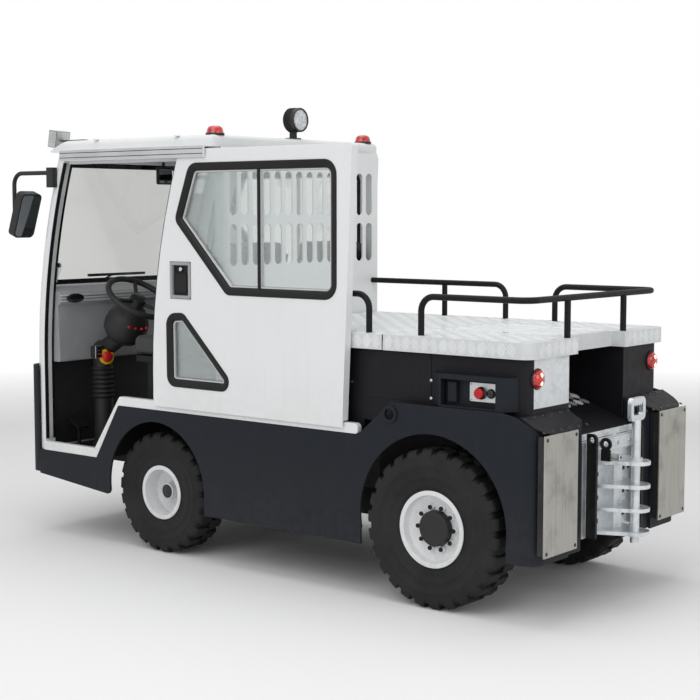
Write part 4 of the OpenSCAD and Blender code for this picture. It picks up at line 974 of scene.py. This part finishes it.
def cushionMesh(name, length):
    # one cushion lying flat, its sitting face upwards, in metres
    i, half = seat["inset"], seat["wide"] / 2
    part = boxPart((i, i - half, i), (length - i, half - i, seat["thick"] - i), seat["round"], 5)
    ops.scale(part, vec=(0.001, 0.001, 0.001), verts=part.verts)
    form = newObject(name + "_form", meshOf(part, name))
    even = form.modifiers.new("even faces", "REMESH")
    even.mode = "VOXEL"
    even.voxel_size = seat["even"] / 1000
    form.data = appliedMesh(form)
    form.modifiers.clear()
    thick = seat["thick"] / 1000
    held = []
    for vert in form.data.vertices:
        x, y, z = vert.co
        onRing = abs(z - seat["ring"] * thick) < seat["seam"]
        onBolster = z > seat["top"] * thick and abs(abs(y) - seat["bolster"]) < seat["seam"]
        if z < seat["base"] * thick or onRing or onBolster:
            held.append(vert.index)
    form.vertex_groups.new(name="seams").add(held, 1.0, "REPLACE")
    blown = form.data.copy()
    cover = form.modifiers.new("cover", "CLOTH")
    cover.settings.quality = seat["quality"]
    cover.settings.use_pressure = True
    cover.settings.uniform_pressure_force = seat["pressure"]
    cover.settings.effector_weights.gravity = 0.0
    cover.settings.vertex_group_mass = "seams"
    cover.point_cache.frame_end = seat["frames"]
    for step in range(1, seat["frames"] + 1):
        scene.frame_set(step)
    blown = appliedMesh(form)
    for start, end in zip(form.data.vertices, blown.vertices):
        move = end.co - start.co
        end.co = start.co + move * min(1.0, seat["most"] / max(move.length, 1e-9))
    scene.frame_set(1)
    bpy.data.objects.remove(form)
    blown.materials.clear()
    return blown


flipped = Matrix.Translation((0, 0, seat["thick"] / 1000)) @ Matrix.Rotation(pi, 4, "X")
leaning = Matrix.Rotation(radians(-90 - seat["lean"]), 4, "Y") @ flipped
for name, length, lie in (("cushion", seat["long"], Matrix.Identity(4)), ("back", seat["high"], leaning)):
    blown = cushionMesh("seat_" + name, length)
    for side, hand in sides.items():
        x, y, z = (v / 1000 for v in seat[name])
        copy = blown.copy()
        copy.transform(Matrix.Translation((x + rearAxle, hand * y, z)) @ lie)
        smoothShade(copy, 60)
        piece = newPiece(f"seat_{name}_{side}", copy, "chassis", "seat_cover", "seat_cover", "seats")
        softer = piece.modifiers.new("softer", "SUBSURF")
        softer.levels = softer.render_levels = 1
print("seats")

# door edge seals, the corner bracket by the windscreen and the lug with an eye on the coupling
doorSeal = {"low": 790, "high": 1870, "start": -102.5, "end": -99, "near": 599, "far": 625, "steps": 20}
for side in sides:
    strip = onDoor(noseStrip(**doorSeal), side)
    addPiece(f"door_edge_seal_{side}", "seal_rubber", strip, body=f"door_{side}")
bracket = roundedOutline([(2456, 1284, 4), (2456, 1316, 6), (2418, 1394, 12), (2390, 1394, 14),
                          (2390, 1368, 10), (2438, 1284, 4)])
addPiece("corner_bracket", "paint_white", sidePart(bracket, 524, 528, 0.8))
knob = [(0, 9), (8, 8), (11, 5), (11, 0), (0, 0)]
addPiece("corner_knob", "black_gloss", turnedAt(knob, 20, facing((2404, 528, 1380), outwards)))
lugEye = [(13, -5), (25, -5), (27, -3), (27, 3), (25, 5), (13, 5), (13, -5)]
addPiece("coupling_lug", "frame_black", turnedAt(lugEye, 32, facing((-540, 104, 690), outwards)),
         boxPart((-562, 99.4, 618.4), (-518, 108.6, 668), 2))
addPiece("ramp_edge", "galvanised", boxPart((-489.6, -226, 709), (-484.3, 226, 737), 2))
grips = repeated(turnedPart([(0, -8), (7.5, -8), (7.5, 8), (0, 8)], 16),
                 [facing((-624, y, 857), forwards) for y in (-24, -8, 8, 24)])
addPiece("handle_grips", "zinc_plate", grips, body=bodyOf["coupling_pin"])
print("edges and brackets")

# two trays on the rear deck, each a smooth floor in a raised rim, and a black strip in the gap between the
# decks as painted shade
trays = {"x": ((-366, -100), (-88, 178)), "half": 190, "rim": 9, "deck": 1136.7, "floor": 0.8, "high": 4.0}
floors, rims = [], []
for back, front in trays["x"]:
    half, low, wide = trays["half"], trays["deck"], trays["rim"]
    high = low + trays["high"]
    floors.append(boxPart((back, -half, low), (front, half, low + trays["floor"])))
    rims += [boxPart((x, -half, low), (x + wide, half, high), 1.5) for x in (back, front - wide)]
    rims += [boxPart((back, y, low), (front, y + wide, high), 1.5) for y in (-half, half - wide)]
addPiece("tray_floors", "galvanised", *floors)
# the tray rims take the tread bars' lighter copy of the deck colour, a painted highlight
addPiece("tray_rims", "tread_bar_painted_highlight", *rims)
# the gap between the decks is filled with a black strip, painted shade
addPiece("deck_gap_shade", "black_gloss", boxPart((270.2, -570, 1108), (277.8, 570, 1136)))
print("deck trays")

# camera as in the photograph
view = {"place": (-4.5384, 5.5303, 1.6497), "along": (0.6253, -0.7749, -0.0922), "lens": 76.32,
        "sensor": 36.0}


def lookAlong(direction):
    return Vector(direction).to_track_quat("-Z", "Y").to_euler()


lens = bpy.data.cameras.new("camera")
lens.lens = view["lens"]
lens.sensor_width = view["sensor"]
camera = newObject("camera", lens)
camera.location = view["place"]
camera.rotation_euler = lookAlong(view["along"])
scene.camera = camera

# white surroundings for camera and glass rays, nearly white ones in mirrors, softer light for the rest
studio = {"sky": 0.5, "mirrored": 0.85, "floor": rgb(243, 243, 243), "size": 12.0, "drop": -0.001,
          "fade": (5.0, 9.0), "aim": (0.0, 0.0, 0.9)}
world = bpy.data.worlds.new("studio")
scene.world = world
world.use_nodes = True
sky = Wire(world.node_tree)
path = world.node_tree.nodes.new("ShaderNodeLightPath")
rays = ("Is Camera Ray", "Is Glossy Ray", "Is Transmission Ray")
seen, mirrored, through = (Wire(world.node_tree, path.outputs[name]) for name in rays)
direct = sky.make("Math", {0: seen, 1: through}, operation="ADD", use_clamp=True)
background = world.node_tree.nodes["Background"]
background.inputs["Color"].default_value = (1.0, 1.0, 1.0, 1.0)
strength = between(direct, 0.0, 1.0, studio["sky"], 1.0)
strength = between(mirrored, 0.0, 1.0, strength, studio["mirrored"])
world.node_tree.links.new(strength.socket, background.inputs["Strength"])

# area lamps: place, size, power
lamps = {"key": ((-1.0, 6.5, 5.5), 6.0, 190.0), "rear": ((-7.0, 1.5, 3.6), 4.0, 100.0),
         "top": ((0.5, 0.0, 7.5), 6.0, 170.0)}
for name, (place, size, power) in lamps.items():
    lamp = bpy.data.lights.new(name, "AREA")
    lamp.size = size
    lamp.energy = power
    holder = newObject(name, lamp)
    holder.location = place
    holder.rotation_euler = lookAlong(Vector(studio["aim"]) - Vector(place))

# floor that fades out into the white surroundings
floorShape = bmesh.new()
ops.create_grid(floorShape, x_segments=8, y_segments=8, size=studio["size"])
ops.translate(floorShape, verts=floorShape.verts, vec=(0, 0, studio["drop"]))
floor = newObject("floor", meshOf(floorShape, "floor"))
floorLook, floorAt = newFinish("floor", studio["floor"], 0.85, 0.0, 0.0, 0.2)
distance = floorAt.make("VectorMath", {0: floorAt}, "Value", operation="LENGTH")
clear = floorAt.make("BsdfTransparent", {})
tree = floorLook.node_tree
ground = Wire(tree, tree.nodes["Principled BSDF"].outputs[0])
fade = between(distance, *studio["fade"])
faded = floorAt.make("MixShader", {0: fade, 1: ground, 2: clear})
tree.links.new(faded.socket, tree.nodes["Material Output"].inputs["Surface"])
floor.data.materials.append(floorLook)

scene.view_settings.view_transform = "Standard"
